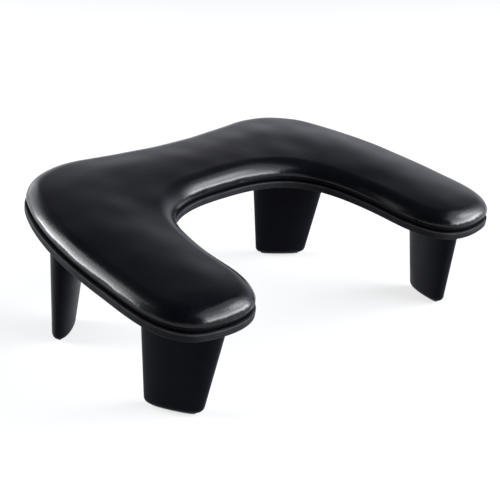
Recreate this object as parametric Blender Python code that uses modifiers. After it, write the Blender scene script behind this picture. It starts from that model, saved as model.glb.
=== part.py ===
"""Manicure hand rest: a U-shaped cushion on a sloping base plate with four tapered oval legs.

Metres, +Z up. The open side of the U faces -Y and the rest is symmetric about X = 0.
The plate and the cushion are drawn in the deck's frame: its origin is on the underside of the plate
at the middle of the bay's edge, and it is turned about X by the slope, so the open side is lower.
"""

import math

import bmesh
import bpy
import numpy as np
from mathutils import Matrix, Vector

# Plan of the base plate
WIDTH = 0.340
BRIDGE_DEPTH = 0.078
ARM_REACH = 0.1442
BAY_WIDTH = 0.1716
BACK_SWELL = 0.007
SWELL_X = 0.077
SHOULDER_FROM_SIDE = 0.0235
SHOULDER_FROM_BACK = 0.0238
SIDE_FULLEST_Y = 0.0645
TIP_FROM_SIDE = 0.0249
TIP_FROM_BAY = 0.0079
TIP_OUTER_ROUND = 0.0025
TIP_INNER_ROUND = 0.0154
INNER_ARM_Y = 0.073
BAY_CORNER_IN = 0.0258
BAY_CORNER_Y = 0.013

# Headings of the outline at its nodes, in degrees, from the back round the arm's tip to the bay
SWELL_HEADING = 8.6
SHOULDER_HEADING = -63.6
SIDE_HEADING = -89.0
TIP_OUTER_HEADING = -166.6
TIP_INNER_HEADING = -241.8
INNER_ARM_HEADING = -263.4
BAY_CORNER_HEADING = -214.4
BAY_HEADING = -180.0

# Heights and slope
DECK_SLOPE = math.radians(10.3)
BAY_HEIGHT = 0.0928
PLATE_THICKNESS = 0.0051
PLATE_ARRIS = 0.0005
GAP = 0.0003

# Cushion, in section: insets run inwards from the edge of the plate
LEATHER = 0.0008
FLANGE_WIDTH = 0.014
LIP_INSET = 0.0022
LIP_ROUND = 0.0021
BOARD_THICKNESS = 0.0020
CREASE_DEPTH = 0.0014
CREASE_RISE = 0.0008
BULGE_INSET = 0.0010
BULGE_RISE = 0.0007
TOP_RISE = 0.0113
ROLL_REACH = 0.0115
ROLL_HEIGHT = 0.0080
BAY_ROLL_REACH = 0.015
BAY_ROLL_HEIGHT = 0.0104
BAY_ROLL_FADE = 0.06
FOAM_CREASE_CLEARANCE = 0.0032

# Legs: half lengths of the oval at the floor and at the reference height
LEG_REFERENCE_HEIGHT = 0.090
LEG_FOOT_HALF_LENGTH = 0.0215
LEG_FOOT_HALF_WIDTH = 0.0075
LEG_TOP_HALF_LENGTH = 0.034
LEG_TOP_HALF_WIDTH = 0.0131
LEG_FOOT_ROUND = 0.0045
LEG_SQUARENESS = 2.3
FRONT_LEG_FROM_ARM_END = 0.0399
FRONT_LEG_OFF_ARM_MIDDLE = 0.0033
FRONT_LEG_TURN = math.radians(68)
FRONT_FOOT_OUT = 0.0074
FRONT_FOOT_BACK = 0.0092
BACK_LEG_FROM_SIDE = 0.0535
BACK_LEG_FROM_BACK = 0.0382
BACK_LEG_TURN = math.radians(-44)
BACK_FOOT_OUT = 0.0019
BACK_FOOT_BACK = 0.0152
PAD_THICKNESS = 0.001
PAD_INSET = 0.0047

# Screws
LEG_SCREW_SPACING = 0.034
LEG_SCREW_LENGTH = 0.019
SCREW_RADIUS = 0.0019
SCREW_POINT = 0.002
SCREW_TIP_RADIUS = 0.0006
LEG_SCREW_HEAD_RADIUS = 0.0037
LEG_SCREW_HEAD_DEPTH = 0.0022
PAN_HEAD_RADIUS = 0.0036
PAN_HEAD_HEIGHT = 0.0022
PAN_HEAD_FACE_RADIUS = 0.0027
PAN_HEAD_RIM = 0.0011
RECESS_SPAN = 0.0038
RECESS_WIDTH = 0.0009
RECESS_DEPTH = 0.0012
ARM_SCREW_FRONT_Y = 0.054
ARM_SCREW_BACK_Y = 0.016
BRIDGE_SCREW_X = 0.036

# Fineness of the solids
RUN_STEPS = 80
PLATE_STATIONS = 30
CUSHION_STATIONS = 18
TIP_CROWDING = 1.35
TIP_FAN_SHARE = 0.17
LEG_SIDES = 32
FOOT_ROUND_STEPS = 5
SCREW_SIDES = 12
HOLE_SIDES = 16
ROLL_STEPS = 6
CROWN_STEPS = 2

# Heights above the underside of the plate
FLANGE_Z = PLATE_THICKNESS + GAP
BOARD_Z = FLANGE_Z + LEATHER + GAP
BOARD_TOP_Z = BOARD_Z + BOARD_THICKNESS
CREASE_Z = BOARD_TOP_Z + CREASE_RISE
BULGE_Z = CREASE_Z + BULGE_RISE
FOAM_Z = BOARD_TOP_Z + GAP
CREASE_INSET = LIP_INSET + CREASE_DEPTH
BOARD_INSET = CREASE_INSET + LEATHER
BOARD_BEVEL = LIP_INSET + LIP_ROUND + (math.sqrt(2) - 1) * LEATHER + GAP - BOARD_INSET
FOAM_CLEARANCE = LEATHER + 2 * GAP

# The head lies a gap below the plate and the point ends a gap below the board's top
CUSHION_SCREW_LENGTH = BOARD_TOP_Z

HALF_WIDTH = WIDTH / 2
BAY_HALF = BAY_WIDTH / 2


def clear_scene():
    """Removes everything that the file starts with."""
    for obj in list(bpy.data.objects):
        bpy.data.objects.remove(obj, do_unlink=True)


def new_collection(name, hidden=False):
    """A collection linked to the scene; a hidden one is left out of a render."""
    collection = bpy.data.collections.new(name)
    bpy.context.scene.collection.children.link(collection)
    collection.hide_render = hidden
    return collection


def new_material(name, colour, roughness, metallic=0.0):
    """A Principled material with a plain colour."""
    material = bpy.data.materials.new(name)
    material.use_nodes = True
    shader = material.node_tree.nodes["Principled BSDF"]
    shader.inputs["Base Color"].default_value = (*colour, 1.0)
    shader.inputs["Roughness"].default_value = roughness
    shader.inputs["Metallic"].default_value = metallic
    material.diffuse_color = (*colour, 1.0)
    return material


def place(obj, collection, parent=None, material=None):
    """Puts an object in a collection, under its parent and in its material."""
    for owner in list(obj.users_collection):
        owner.objects.unlink(obj)
    collection.objects.link(obj)
    if parent is not None:
        obj.parent = parent
    if material is not None:
        obj.data.materials.clear()
        obj.data.materials.append(material)
    return obj


def smooth(obj, angle=math.radians(35)):
    """Shades a piece smooth, with its sharp edges kept sharp."""
    obj.data.shade_smooth()
    obj.data.set_sharp_from_angle(angle=angle)


def make_cutter(obj, collection, parent):
    """Turns an object into a cutter that isn't rendered."""
    place(obj, collection, parent)
    obj.hide_render = True
    obj.display_type = "WIRE"
    return obj


def add_boolean(obj, cutter, operation="DIFFERENCE"):
    """Adds an exact Boolean with one cutter object."""
    modifier = obj.modifiers.new(cutter.name, "BOOLEAN")
    modifier.operation = operation
    modifier.object = cutter
    modifier.solver = "EXACT"
    return modifier


def plan_nodes():
    """Half of the plate's outline, clockwise from the back to the bay: x, y and heading in degrees."""
    return [
        (0.0, BRIDGE_DEPTH, 0.0),
        (SWELL_X, BRIDGE_DEPTH + BACK_SWELL, SWELL_HEADING),
        (HALF_WIDTH - SHOULDER_FROM_SIDE, BRIDGE_DEPTH - SHOULDER_FROM_BACK, SHOULDER_HEADING),
        (HALF_WIDTH, -SIDE_FULLEST_Y, SIDE_HEADING),
        (HALF_WIDTH - TIP_FROM_SIDE, TIP_OUTER_ROUND - ARM_REACH, TIP_OUTER_HEADING),
        (BAY_HALF + TIP_FROM_BAY, TIP_INNER_ROUND - ARM_REACH, TIP_INNER_HEADING),
        (BAY_HALF, -INNER_ARM_Y, INNER_ARM_HEADING),
        (BAY_HALF - BAY_CORNER_IN, -BAY_CORNER_Y, BAY_CORNER_HEADING),
        (0.0, 0.0, BAY_HEADING),
    ]


def hermite_run(start, end, count):
    """A cubic run between two nodes; its tangents make a circular arc where the nodes allow one."""
    from_point, to_point = np.array(start[:2]), np.array(end[:2])
    from_heading, to_heading = math.radians(start[2]), math.radians(end[2])
    chord = np.linalg.norm(to_point - from_point)
    pull = chord / math.cos((to_heading - from_heading) / 4) ** 2
    from_pull = pull * np.array([math.cos(from_heading), math.sin(from_heading)])
    to_pull = pull * np.array([math.cos(to_heading), math.sin(to_heading)])
    u = np.linspace(0, 1, count, endpoint=False)[:, None]
    return (
        (2 * u**3 - 3 * u**2 + 1) * from_point
        + (u**3 - 2 * u**2 + u) * from_pull
        + (3 * u**2 - 2 * u**3) * to_point
        + (u**3 - u**2) * to_pull
    )


def half_outline():
    """The outline's right half as a fine run of points, from the middle of the back to that of the bay."""
    nodes = plan_nodes()
    runs = [hermite_run(start, end, RUN_STEPS) for start, end in zip(nodes, nodes[1:])]
    return np.vstack(runs + [np.array([nodes[-1][:2]])])


def resampled(points, shares):
    """Points at the given shares of a run's length."""
    steps = np.linalg.norm(np.diff(points, axis=0), axis=1)
    along = np.concatenate([[0.0], np.cumsum(steps)])
    wanted = np.asarray(shares) * along[-1]
    return np.column_stack([np.interp(wanted, along, points[:, axis]) for axis in (0, 1)])


def stations(count):
    """The outline as pairs of outer and inner points, from the right arm's end to the middle.

    Both runs start at the tip of the arm and are split at the same shares of their length, so that
    each outer point faces the inner point across the arm.
    """
    half = half_outline()
    tip = int(np.argmin(half[:, 1]))
    shares = np.linspace(0, 1, count + 1) ** TIP_CROWDING
    outer = resampled(half[: tip + 1][::-1], shares)
    inner = resampled(half[tip:], shares)
    return outer, inner, shares


def closed_plan(count):
    """(points, inward normals, feet on the spine) of the whole outline, anticlockwise from the right tip."""
    outer, inner, shares = stations(count)
    spine = (outer + inner) / 2
    fan = np.searchsorted(shares, TIP_FAN_SHARE)
    spine[:fan] = spine[fan]
    mirror = np.array([-1.0, 1.0])
    points = np.vstack([outer, (outer * mirror)[-2::-1], (inner * mirror)[1:], inner[-2:0:-1]])
    feet = np.vstack([spine, (spine * mirror)[-2::-1], (spine * mirror)[1:], spine[-2:0:-1]])
    ahead = np.roll(points, -1, axis=0) - points
    behind = points - np.roll(points, 1, axis=0)
    ahead /= np.linalg.norm(ahead, axis=1, keepdims=True)
    behind /= np.linalg.norm(behind, axis=1, keepdims=True)
    tangent = ahead + behind
    tangent /= np.linalg.norm(tangent, axis=1, keepdims=True)
    inward = np.column_stack([-tangent[:, 1], tangent[:, 0]])
    return points, inward, feet


def inset_ring(plan, inset):
    """The outline moved inwards: square to the edge near it, and towards the spine further in."""
    points, inward, feet = plan
    inset = np.broadcast_to(inset, len(points))[:, None]
    to_foot = feet - points
    length = np.linalg.norm(to_foot, axis=1, keepdims=True)
    share = np.clip(inset / length, 0, 1)
    weight = share * share * (3 - 2 * share)
    return (points + inward * inset) * (1 - weight) + (points + to_foot * share) * weight


def raised(ring, height):
    """A ring of plan points at a height above the plate's underside."""
    return np.column_stack([ring, np.broadcast_to(height, len(ring))])


def roll_sizes(plan):
    """Reach and height of the rolled edge at each point of the outline: both grow along the bay's far edge."""
    points, inward, _ = plan
    fade = np.clip(1 + points[:, 1] / BAY_ROLL_FADE, 0, 1)
    share = np.clip(inward[:, 1], 0, 1) * fade * fade * (3 - 2 * fade)
    reach = ROLL_REACH + (BAY_ROLL_REACH - ROLL_REACH) * share
    return reach, ROLL_HEIGHT + (BAY_ROLL_HEIGHT - ROLL_HEIGHT) * share


def dome_rings(plan, clearance):
    """Rings from the bulge up to the spine, set in from the leather's face by the clearance.

    The section is a quarter of an ellipse up the rolled edge, and over it a crown that rises as a parabola
    to the spine. The clearance is taken off square to the section, so the foam lies evenly under the leather.
    """
    points, _, feet = plan
    length = np.linalg.norm(feet - points, axis=1)
    reach, roll = roll_sizes(plan)
    angle = np.linspace(0, math.pi / 2, ROLL_STEPS + 1)[:, None]
    onward = np.linspace(0, 1, CROWN_STEPS + 1)[1:, None]
    roll_inset = BULGE_INSET + reach * (1 - np.cos(angle))
    inset = np.vstack([roll_inset, roll_inset[-1] + (length - roll_inset[-1]) * onward])
    rise = np.vstack([roll * np.sin(angle), np.broadcast_to(roll, (CROWN_STEPS, len(roll)))])
    height = BULGE_Z + rise + (TOP_RISE - roll) * (1 - (1 - inset / length) ** 2)
    slope_in, slope_up = np.gradient(inset, axis=0), np.gradient(height, axis=0)
    steepness = np.hypot(slope_in, slope_up)
    slope_in[-1], slope_up[-1], steepness[-1] = 1.0, 0.0, 1.0
    inset = inset + clearance * slope_up / steepness
    height = height - clearance * slope_in / steepness
    rings = [raised(inset_ring(plan, inset[step]), height[step]) for step in range(len(inset) - 1)]
    return rings + [raised(feet, height[-1])]


def mesh_from_rings(name, rings):
    """A mesh lofted through closed rings of equal count, with coincident points made one."""
    count = len(rings[0])
    points = np.vstack(rings)
    lower = np.arange(count)
    after = np.roll(lower, -1)
    faces = []
    for level in range(len(rings) - 1):
        base = level * count
        quads = np.column_stack([lower, after, after + count, lower + count]) + base
        faces.extend(quads.tolist())
    mesh = bpy.data.meshes.new(name)
    mesh.from_pydata(points.tolist(), [], faces)
    work = bmesh.new()
    work.from_mesh(mesh)
    bmesh.ops.remove_doubles(work, verts=work.verts, dist=1e-6)
    bmesh.ops.dissolve_degenerate(work, edges=work.edges, dist=1e-7)
    bmesh.ops.recalc_face_normals(work, faces=work.faces)
    work.to_mesh(mesh)
    work.free()
    return mesh


def flat_mesh(name, ring, thickness):
    """A flat outline with a thickness, centred on its own plane: a filled curve made a mesh."""
    curve = bpy.data.curves.new(name, "CURVE")
    curve.dimensions = "2D"
    curve.fill_mode = "BOTH"
    curve.extrude = thickness / 2
    spline = curve.splines.new("POLY")
    spline.points.add(len(ring) - 1)
    spline.points.foreach_set("co", np.column_stack([ring, np.zeros(len(ring)), np.ones(len(ring))]).ravel())
    spline.use_cyclic_u = True
    source = bpy.data.objects.new(name, curve)
    bpy.context.scene.collection.objects.link(source)
    bpy.context.view_layer.update()
    graph = bpy.context.evaluated_depsgraph_get()
    mesh = bpy.data.meshes.new_from_object(source.evaluated_get(graph))
    bpy.data.objects.remove(source, do_unlink=True)
    bpy.data.curves.remove(curve)
    work = bmesh.new()
    work.from_mesh(mesh)
    bmesh.ops.remove_doubles(work, verts=work.verts, dist=1e-6)
    bmesh.ops.recalc_face_normals(work, faces=work.faces)
    work.to_mesh(mesh)
    work.free()
    return mesh


def joined_mesh(name, shapes):
    """One mesh of several cones or cylinders, each given as standing gives it."""
    work = bmesh.new()
    for segments, low_radius, high_radius, matrix, depth in shapes:
        bmesh.ops.create_cone(
            work,
            cap_ends=True,
            segments=segments,
            radius1=low_radius,
            radius2=high_radius,
            depth=depth,
            matrix=matrix,
        )
    mesh = bpy.data.meshes.new(name)
    work.to_mesh(mesh)
    work.free()
    return mesh


def standing(x, y, low, high, low_radius, high_radius, sides):
    """The values of one upright cone or cylinder for joined_mesh."""
    matrix = Matrix.Translation((x, y, (low + high) / 2))
    return (sides, low_radius, high_radius, matrix, high - low)


def leg_spots():
    """For each leg: its name, side, centre at the plate in deck coordinates, turn and foot's shift."""
    arm_middle = (HALF_WIDTH + BAY_HALF) / 2
    front = (arm_middle + FRONT_LEG_OFF_ARM_MIDDLE, FRONT_LEG_FROM_ARM_END - ARM_REACH)
    back = (HALF_WIDTH - BACK_LEG_FROM_SIDE, BRIDGE_DEPTH - BACK_LEG_FROM_BACK)
    spots = []
    for side, word in ((-1, "left"), (1, "right")):
        spots.append((f"front_{word}", side, front, FRONT_LEG_TURN, (FRONT_FOOT_OUT, FRONT_FOOT_BACK)))
        spots.append((f"back_{word}", side, back, BACK_LEG_TURN, (BACK_FOOT_OUT, BACK_FOOT_BACK)))
    return spots


def leg_screw_spots():
    """For each leg screw: its name and its place in deck coordinates."""
    spots = []
    for leg, side, (x, y), turn, _ in leg_spots():
        for word, sign in (("outer", 1), ("inner", -1)):
            along = sign * LEG_SCREW_SPACING / 2
            spot = (side * (x + along * math.cos(turn)), y + along * math.sin(turn))
            spots.append((f"leg_screw_{leg}_{word}", spot))
    return spots


def cushion_screw_spots():
    """The cushion screws' places in deck coordinates, in order from the left arm round to the right."""
    arm_middle = (HALF_WIDTH + BAY_HALF) / 2
    right = [
        (BRIDGE_SCREW_X, BRIDGE_DEPTH / 2),
        (arm_middle, -ARM_SCREW_BACK_Y),
        (arm_middle, -ARM_SCREW_FRONT_Y),
    ]
    return [(-x, y) for x, y in right[::-1]] + right


def oval_ring(half_length, half_width, centre, turn, height):
    """A level ring in the form of a slightly squared oval."""
    angle = np.linspace(0, 2 * math.pi, LEG_SIDES, endpoint=False)
    power = 2 / LEG_SQUARENESS
    along = half_length * np.sign(np.cos(angle)) * np.abs(np.cos(angle)) ** power
    across = half_width * np.sign(np.sin(angle)) * np.abs(np.sin(angle)) ** power
    x = centre[0] + along * math.cos(turn) - across * math.sin(turn)
    y = centre[1] + along * math.sin(turn) + across * math.cos(turn)
    return np.column_stack([x, y, np.full(LEG_SIDES, height)])


def capped(rings):
    """Rings closed at both ends by a point at the middle of each end ring."""
    first = np.broadcast_to(rings[0].mean(axis=0), rings[0].shape)
    last = np.broadcast_to(rings[-1].mean(axis=0), rings[-1].shape)
    return [first, *rings, last]


def leg_ring(side, foot, shift, turn, height, trim=0.0):
    """The leg's oval at one height: it grows evenly upwards, and its centre moves from the foot."""
    share = height / LEG_REFERENCE_HEIGHT
    half_length = LEG_FOOT_HALF_LENGTH + (LEG_TOP_HALF_LENGTH - LEG_FOOT_HALF_LENGTH) * share
    half_width = LEG_FOOT_HALF_WIDTH + (LEG_TOP_HALF_WIDTH - LEG_FOOT_HALF_WIDTH) * share
    centre = (side * (foot[0] - shift[0] * share), foot[1] - shift[1] * share)
    return oval_ring(half_length - trim, half_width - trim, centre, side * turn, height)


def leg_rings(side, foot, shift, turn):
    """Rings up one leg: the rounded lower edge, then straight sides up to the slope under the plate."""
    floor = PAD_THICKNESS + GAP
    rings = []
    for angle in np.linspace(0, math.pi / 2, FOOT_ROUND_STEPS):
        height = floor + LEG_FOOT_ROUND * (1 - math.cos(angle))
        rings.append(leg_ring(side, foot, shift, turn, height, LEG_FOOT_ROUND * (1 - math.sin(angle))))
    above = leg_ring(side, foot, shift, turn, LEG_REFERENCE_HEIGHT) - rings[-1]
    square_to_deck = np.array([0.0, -math.sin(DECK_SLOPE), math.cos(DECK_SLOPE)])
    below_plate = (np.array([0.0, 0.0, BAY_HEIGHT]) - rings[-1]) @ square_to_deck - GAP
    rings.append(rings[-1] + above * (below_plate / (above @ square_to_deck))[:, None])
    return rings


def turned_screw(name, profile, recess_z):
    """A screw turned from its profile about Z, with a cross recess in its head."""
    mesh = bpy.data.meshes.new(name)
    edges = [(start, start + 1) for start in range(len(profile) - 1)]
    mesh.from_pydata([(radius, 0.0, z) for radius, z in profile], edges, [])
    source = bpy.data.objects.new(name, mesh)
    bpy.context.scene.collection.objects.link(source)
    turn = source.modifiers.new("turn", "SCREW")
    turn.steps = SCREW_SIDES
    turn.render_steps = SCREW_SIDES
    turn.use_merge_vertices = True
    turn.merge_threshold = 1e-5
    recess = bpy.data.meshes.new(f"{name}_recess")
    work = bmesh.new()
    for length, width in ((RECESS_SPAN, RECESS_WIDTH), (RECESS_WIDTH, RECESS_SPAN)):
        matrix = Matrix.Translation((0, 0, recess_z)) @ Matrix.Diagonal((length, width, 2 * RECESS_DEPTH, 1))
        bmesh.ops.create_cube(work, size=1.0, matrix=matrix)
    work.to_mesh(recess)
    work.free()
    tool = bpy.data.objects.new(f"{name}_recess", recess)
    bpy.context.scene.collection.objects.link(tool)
    add_boolean(source, tool).use_self = True
    bpy.context.view_layer.update()
    graph = bpy.context.evaluated_depsgraph_get()
    made = bpy.data.meshes.new_from_object(source.evaluated_get(graph))
    made.name = name
    bpy.data.objects.remove(source, do_unlink=True)
    bpy.data.objects.remove(tool, do_unlink=True)
    made.shade_smooth()
    made.set_sharp_from_angle(angle=math.radians(35))
    return made


def make_base_plate(parts, cutters, deck, material):
    """The wide U under the cushion, with its screw holes."""
    plan = closed_plan(PLATE_STATIONS)
    plate = bpy.data.objects.new("base_plate", flat_mesh("base_plate", plan[0], PLATE_THICKNESS))
    plate.location = (0, 0, PLATE_THICKNESS / 2)
    place(plate, parts, deck, material)
    arris = plate.modifiers.new("arris", "BEVEL")
    arris.width = PLATE_ARRIS
    arris.segments = 2
    arris.limit_method = "ANGLE"
    arris.angle_limit = math.radians(60)
    sink_top = LEG_SCREW_HEAD_RADIUS + 2 * GAP
    sink_low = SCREW_RADIUS + GAP
    sink_depth = LEG_SCREW_HEAD_DEPTH + GAP
    low, high = -PLATE_THICKNESS, 2 * PLATE_THICKNESS
    holes = []
    for _, (x, y) in leg_screw_spots():
        holes.append(standing(x, y, low, PLATE_THICKNESS - sink_depth, sink_low, sink_low, HOLE_SIDES))
    for x, y in cushion_screw_spots():
        holes.append(standing(x, y, low, high, sink_low, sink_low, HOLE_SIDES))
    through = bpy.data.objects.new("plate_holes", joined_mesh("plate_holes", holes))
    make_cutter(through, cutters, deck)
    flare = (sink_top - sink_low) / sink_depth
    sinks = []
    for _, (x, y) in leg_screw_spots():
        low, high = PLATE_THICKNESS - sink_depth - GAP, PLATE_THICKNESS + GAP
        sinks.append(standing(x, y, low, high, sink_low - flare * GAP, sink_top + flare * GAP, HOLE_SIDES))
    countersinks = bpy.data.objects.new("plate_countersinks", joined_mesh("plate_countersinks", sinks))
    make_cutter(countersinks, cutters, deck)
    add_boolean(plate, through)
    add_boolean(plate, countersinks)
    smooth(plate)
    return plate


def make_cushion_board(parts, cutters, deck, material):
    """The stiff board that the foam lies on, bevelled under its edge, with holes for the cushion screws."""
    plan = closed_plan(CUSHION_STATIONS)
    rings = [
        raised(plan[2], BOARD_Z),
        raised(inset_ring(plan, BOARD_INSET + BOARD_BEVEL), BOARD_Z),
        raised(inset_ring(plan, BOARD_INSET), BOARD_Z + BOARD_BEVEL),
        raised(inset_ring(plan, BOARD_INSET), BOARD_TOP_Z),
        raised(plan[2], BOARD_TOP_Z),
    ]
    board = bpy.data.objects.new("cushion_board", mesh_from_rings("cushion_board", rings))
    place(board, parts, deck, material)
    radius = SCREW_RADIUS + GAP
    holes = [
        standing(x, y, BOARD_Z - GAP, BOARD_TOP_Z + GAP, radius, radius, HOLE_SIDES)
        for x, y in cushion_screw_spots()
    ]
    pilots = bpy.data.objects.new("board_holes", joined_mesh("board_holes", holes))
    make_cutter(pilots, cutters, deck)
    add_boolean(board, pilots)
    smooth(board)
    return board


def make_foam_pad(parts, deck, material):
    """The U of foam between the board and the leather."""
    plan = closed_plan(CUSHION_STATIONS)
    dome = dome_rings(plan, FOAM_CLEARANCE)
    base = inset_ring(plan, CREASE_INSET + LEATHER + FOAM_CREASE_CLEARANCE)
    rings = [raised(plan[2], FOAM_Z), raised(base, FOAM_Z), *dome[1:]]
    foam = bpy.data.objects.new("foam_pad", mesh_from_rings("foam_pad", rings))
    place(foam, parts, deck, material)
    smooth(foam)
    return foam


def make_leather_cover(parts, deck, material):
    """The leather skin, from its flange under the board, round the lip and the crease and over the foam."""
    plan = closed_plan(CUSHION_STATIONS)
    section = [
        (LIP_INSET + FLANGE_WIDTH, FLANGE_Z),
        (LIP_INSET + LIP_ROUND, FLANGE_Z),
        (LIP_INSET, FLANGE_Z + LIP_ROUND),
        (LIP_INSET, BOARD_TOP_Z),
        (CREASE_INSET, CREASE_Z),
    ]
    rings = [raised(inset_ring(plan, inset), height) for inset, height in section]
    rings += dome_rings(plan, 0.0)
    mesh = mesh_from_rings("leather_cover", rings)
    if mesh.polygons[0].normal.z > 0:
        mesh.flip_normals()
    cover = bpy.data.objects.new("leather_cover", mesh)
    place(cover, parts, deck, material)
    skin = cover.modifiers.new("skin", "SOLIDIFY")
    skin.thickness = LEATHER
    skin.offset = -1.0
    skin.use_even_offset = True
    smooth(cover)
    return cover


def deck_to_rest(deck):
    """The deck's matrix in the rest's own frame."""
    return Matrix.Translation(deck.location) @ Matrix.Rotation(deck.rotation_euler.x, 4, "X")


def make_leg(spot, parts, cutters, rest, deck, material):
    """One tapered leg, level at the floor and slanted under the plate, with its screws' pilot holes."""
    name, side, (x, y), turn, shift = spot
    head = deck_to_rest(deck) @ Vector((x, y, 0))
    share = head.z / LEG_REFERENCE_HEIGHT
    foot = (head.x + shift[0] * share, head.y + shift[1] * share)
    rings = leg_rings(side, foot, shift, turn)
    leg = bpy.data.objects.new(f"leg_{name}", mesh_from_rings(f"leg_{name}", capped(rings)))
    place(leg, parts, rest, material)
    radius = SCREW_RADIUS + GAP
    low = PLATE_THICKNESS - LEG_SCREW_LENGTH - 2 * GAP
    holes = [
        standing(*centre, low, PLATE_THICKNESS, radius, radius, HOLE_SIDES)
        for screw, centre in leg_screw_spots()
        if screw.startswith(f"leg_screw_{name}")
    ]
    pilots = bpy.data.objects.new(f"{name}_pilots", joined_mesh(f"{name}_pilots", holes))
    make_cutter(pilots, cutters, deck)
    add_boolean(leg, pilots)
    smooth(leg)
    return foot


def make_foot_pad(spot, foot, parts, rest, material):
    """The thin non-slip pad under one leg."""
    name, side, _, turn, _ = spot
    half_length = LEG_FOOT_HALF_LENGTH - PAD_INSET
    half_width = LEG_FOOT_HALF_WIDTH - PAD_INSET
    centre = (side * foot[0], foot[1])
    rings = [
        oval_ring(half_length, half_width, centre, side * turn, height) for height in (0.0, PAD_THICKNESS)
    ]
    pad = bpy.data.objects.new(f"foot_pad_{name}", mesh_from_rings(f"foot_pad_{name}", capped(rings)))
    place(pad, parts, rest, material)
    smooth(pad)
    return pad


def make_screws(parts, deck, material):
    """The countersunk leg screws and the pan-head cushion screws."""
    leg_profile = [
        (0.0, 0.0),
        (LEG_SCREW_HEAD_RADIUS, 0.0),
        (SCREW_RADIUS, -LEG_SCREW_HEAD_DEPTH),
        (SCREW_RADIUS, SCREW_POINT - LEG_SCREW_LENGTH),
        (SCREW_TIP_RADIUS, -LEG_SCREW_LENGTH),
        (0.0, -LEG_SCREW_LENGTH),
    ]
    leg_screw = turned_screw("leg_screw", leg_profile, 0.0)
    for name, (x, y) in leg_screw_spots():
        screw = bpy.data.objects.new(name, leg_screw)
        screw.location = (x, y, PLATE_THICKNESS - GAP)
        place(screw, parts, deck, material)
    pan_profile = [
        (0.0, CUSHION_SCREW_LENGTH),
        (SCREW_TIP_RADIUS, CUSHION_SCREW_LENGTH),
        (SCREW_RADIUS, CUSHION_SCREW_LENGTH - SCREW_POINT),
        (SCREW_RADIUS, 0.0),
        (PAN_HEAD_RADIUS, 0.0),
        (PAN_HEAD_RADIUS, -PAN_HEAD_RIM),
        (PAN_HEAD_FACE_RADIUS, -PAN_HEAD_HEIGHT),
        (0.0, -PAN_HEAD_HEIGHT),
    ]
    pan_screw = turned_screw("cushion_screw", pan_profile, -PAN_HEAD_HEIGHT)
    for index, (x, y) in enumerate(cushion_screw_spots(), start=1):
        screw = bpy.data.objects.new(f"cushion_screw_{index}", pan_screw)
        screw.location = (x, y, -GAP)
        place(screw, parts, deck, material)


def plan_middle(deck):
    """The middle of the rest's extent along Y, before it is moved to the origin."""
    plan = closed_plan(PLATE_STATIONS)[0]
    matrix = deck_to_rest(deck)
    ends = []
    for y in (plan[:, 1].min(), plan[:, 1].max()):
        for z in (0.0, PLATE_THICKNESS):
            ends.append((matrix @ Vector((0, y, z))).y)
    return (min(ends) + max(ends)) / 2


def main():
    """Builds the hand rest."""
    clear_scene()
    parts = new_collection("manicure_hand_rest")
    cutters = new_collection("cutters", hidden=True)
    rest = bpy.data.objects.new("rest", None)
    parts.objects.link(rest)
    deck = bpy.data.objects.new("deck", None)
    parts.objects.link(deck)
    deck.parent = rest
    deck.location = (0, 0, BAY_HEIGHT)
    deck.rotation_euler = (DECK_SLOPE, 0, 0)
    rest.location = (0, -plan_middle(deck), 0)

    leather = new_material("leather", (0.012, 0.012, 0.013), 0.32)
    foam = new_material("foam", (0.75, 0.72, 0.60), 0.95)
    board = new_material("board", (0.30, 0.19, 0.10), 0.85)
    plate = new_material("plate_plastic", (0.020, 0.020, 0.021), 0.48)
    leg = new_material("leg_paint", (0.018, 0.018, 0.019), 0.40)
    rubber = new_material("pad_rubber", (0.015, 0.015, 0.015), 0.85)
    steel = new_material("screw_steel", (0.55, 0.55, 0.54), 0.35, 1.0)

    make_base_plate(parts, cutters, deck, plate)
    make_cushion_board(parts, cutters, deck, board)
    make_foam_pad(parts, deck, foam)
    make_leather_cover(parts, deck, leather)
    make_screws(parts, deck, steel)
    for spot in leg_spots():
        foot = make_leg(spot, parts, cutters, rest, deck, leg)
        make_foot_pad(spot, foot, parts, rest, rubber)


main()
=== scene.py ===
"""Finish of the manicure hand rest: leather cushion, base plate, legs, pads, screws and studio.

Metres, +Z up. The deck's frame is turned about X by the slope: its origin is on the underside of the
base plate, at the middle of the bay's edge.
"""

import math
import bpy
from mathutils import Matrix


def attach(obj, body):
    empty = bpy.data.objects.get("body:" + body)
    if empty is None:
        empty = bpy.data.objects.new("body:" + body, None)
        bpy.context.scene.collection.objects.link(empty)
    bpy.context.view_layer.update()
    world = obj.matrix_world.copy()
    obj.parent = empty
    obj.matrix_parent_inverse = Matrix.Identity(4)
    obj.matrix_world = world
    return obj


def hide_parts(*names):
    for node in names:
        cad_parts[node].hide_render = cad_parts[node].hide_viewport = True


bl_info = {
    "name": "Manicure Hand Rest",
    "version": (1, 0, 0),
    "blender": (4, 5, 0),
    "location": "View3D > Sidebar > Hand Rest",
    "description": "Builds the leather cushion, the plate, the legs and the studio of a manicure hand rest",
    "category": "Add Mesh",
}

import bmesh
import bpy
import numpy as np
from bpy.props import FloatProperty, FloatVectorProperty, IntProperty, PointerProperty
from mathutils import Vector

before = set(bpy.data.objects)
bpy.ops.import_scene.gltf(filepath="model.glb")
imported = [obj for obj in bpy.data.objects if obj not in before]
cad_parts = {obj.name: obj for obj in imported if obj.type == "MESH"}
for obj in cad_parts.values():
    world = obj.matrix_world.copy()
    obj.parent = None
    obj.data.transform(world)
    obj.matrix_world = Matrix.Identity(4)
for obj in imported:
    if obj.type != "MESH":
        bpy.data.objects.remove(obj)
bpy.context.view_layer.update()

BODY = "root"
LEG_NAMES = ("front_left", "front_right", "back_left", "back_right")
SCREW_ENDS = ("outer", "inner")


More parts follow.
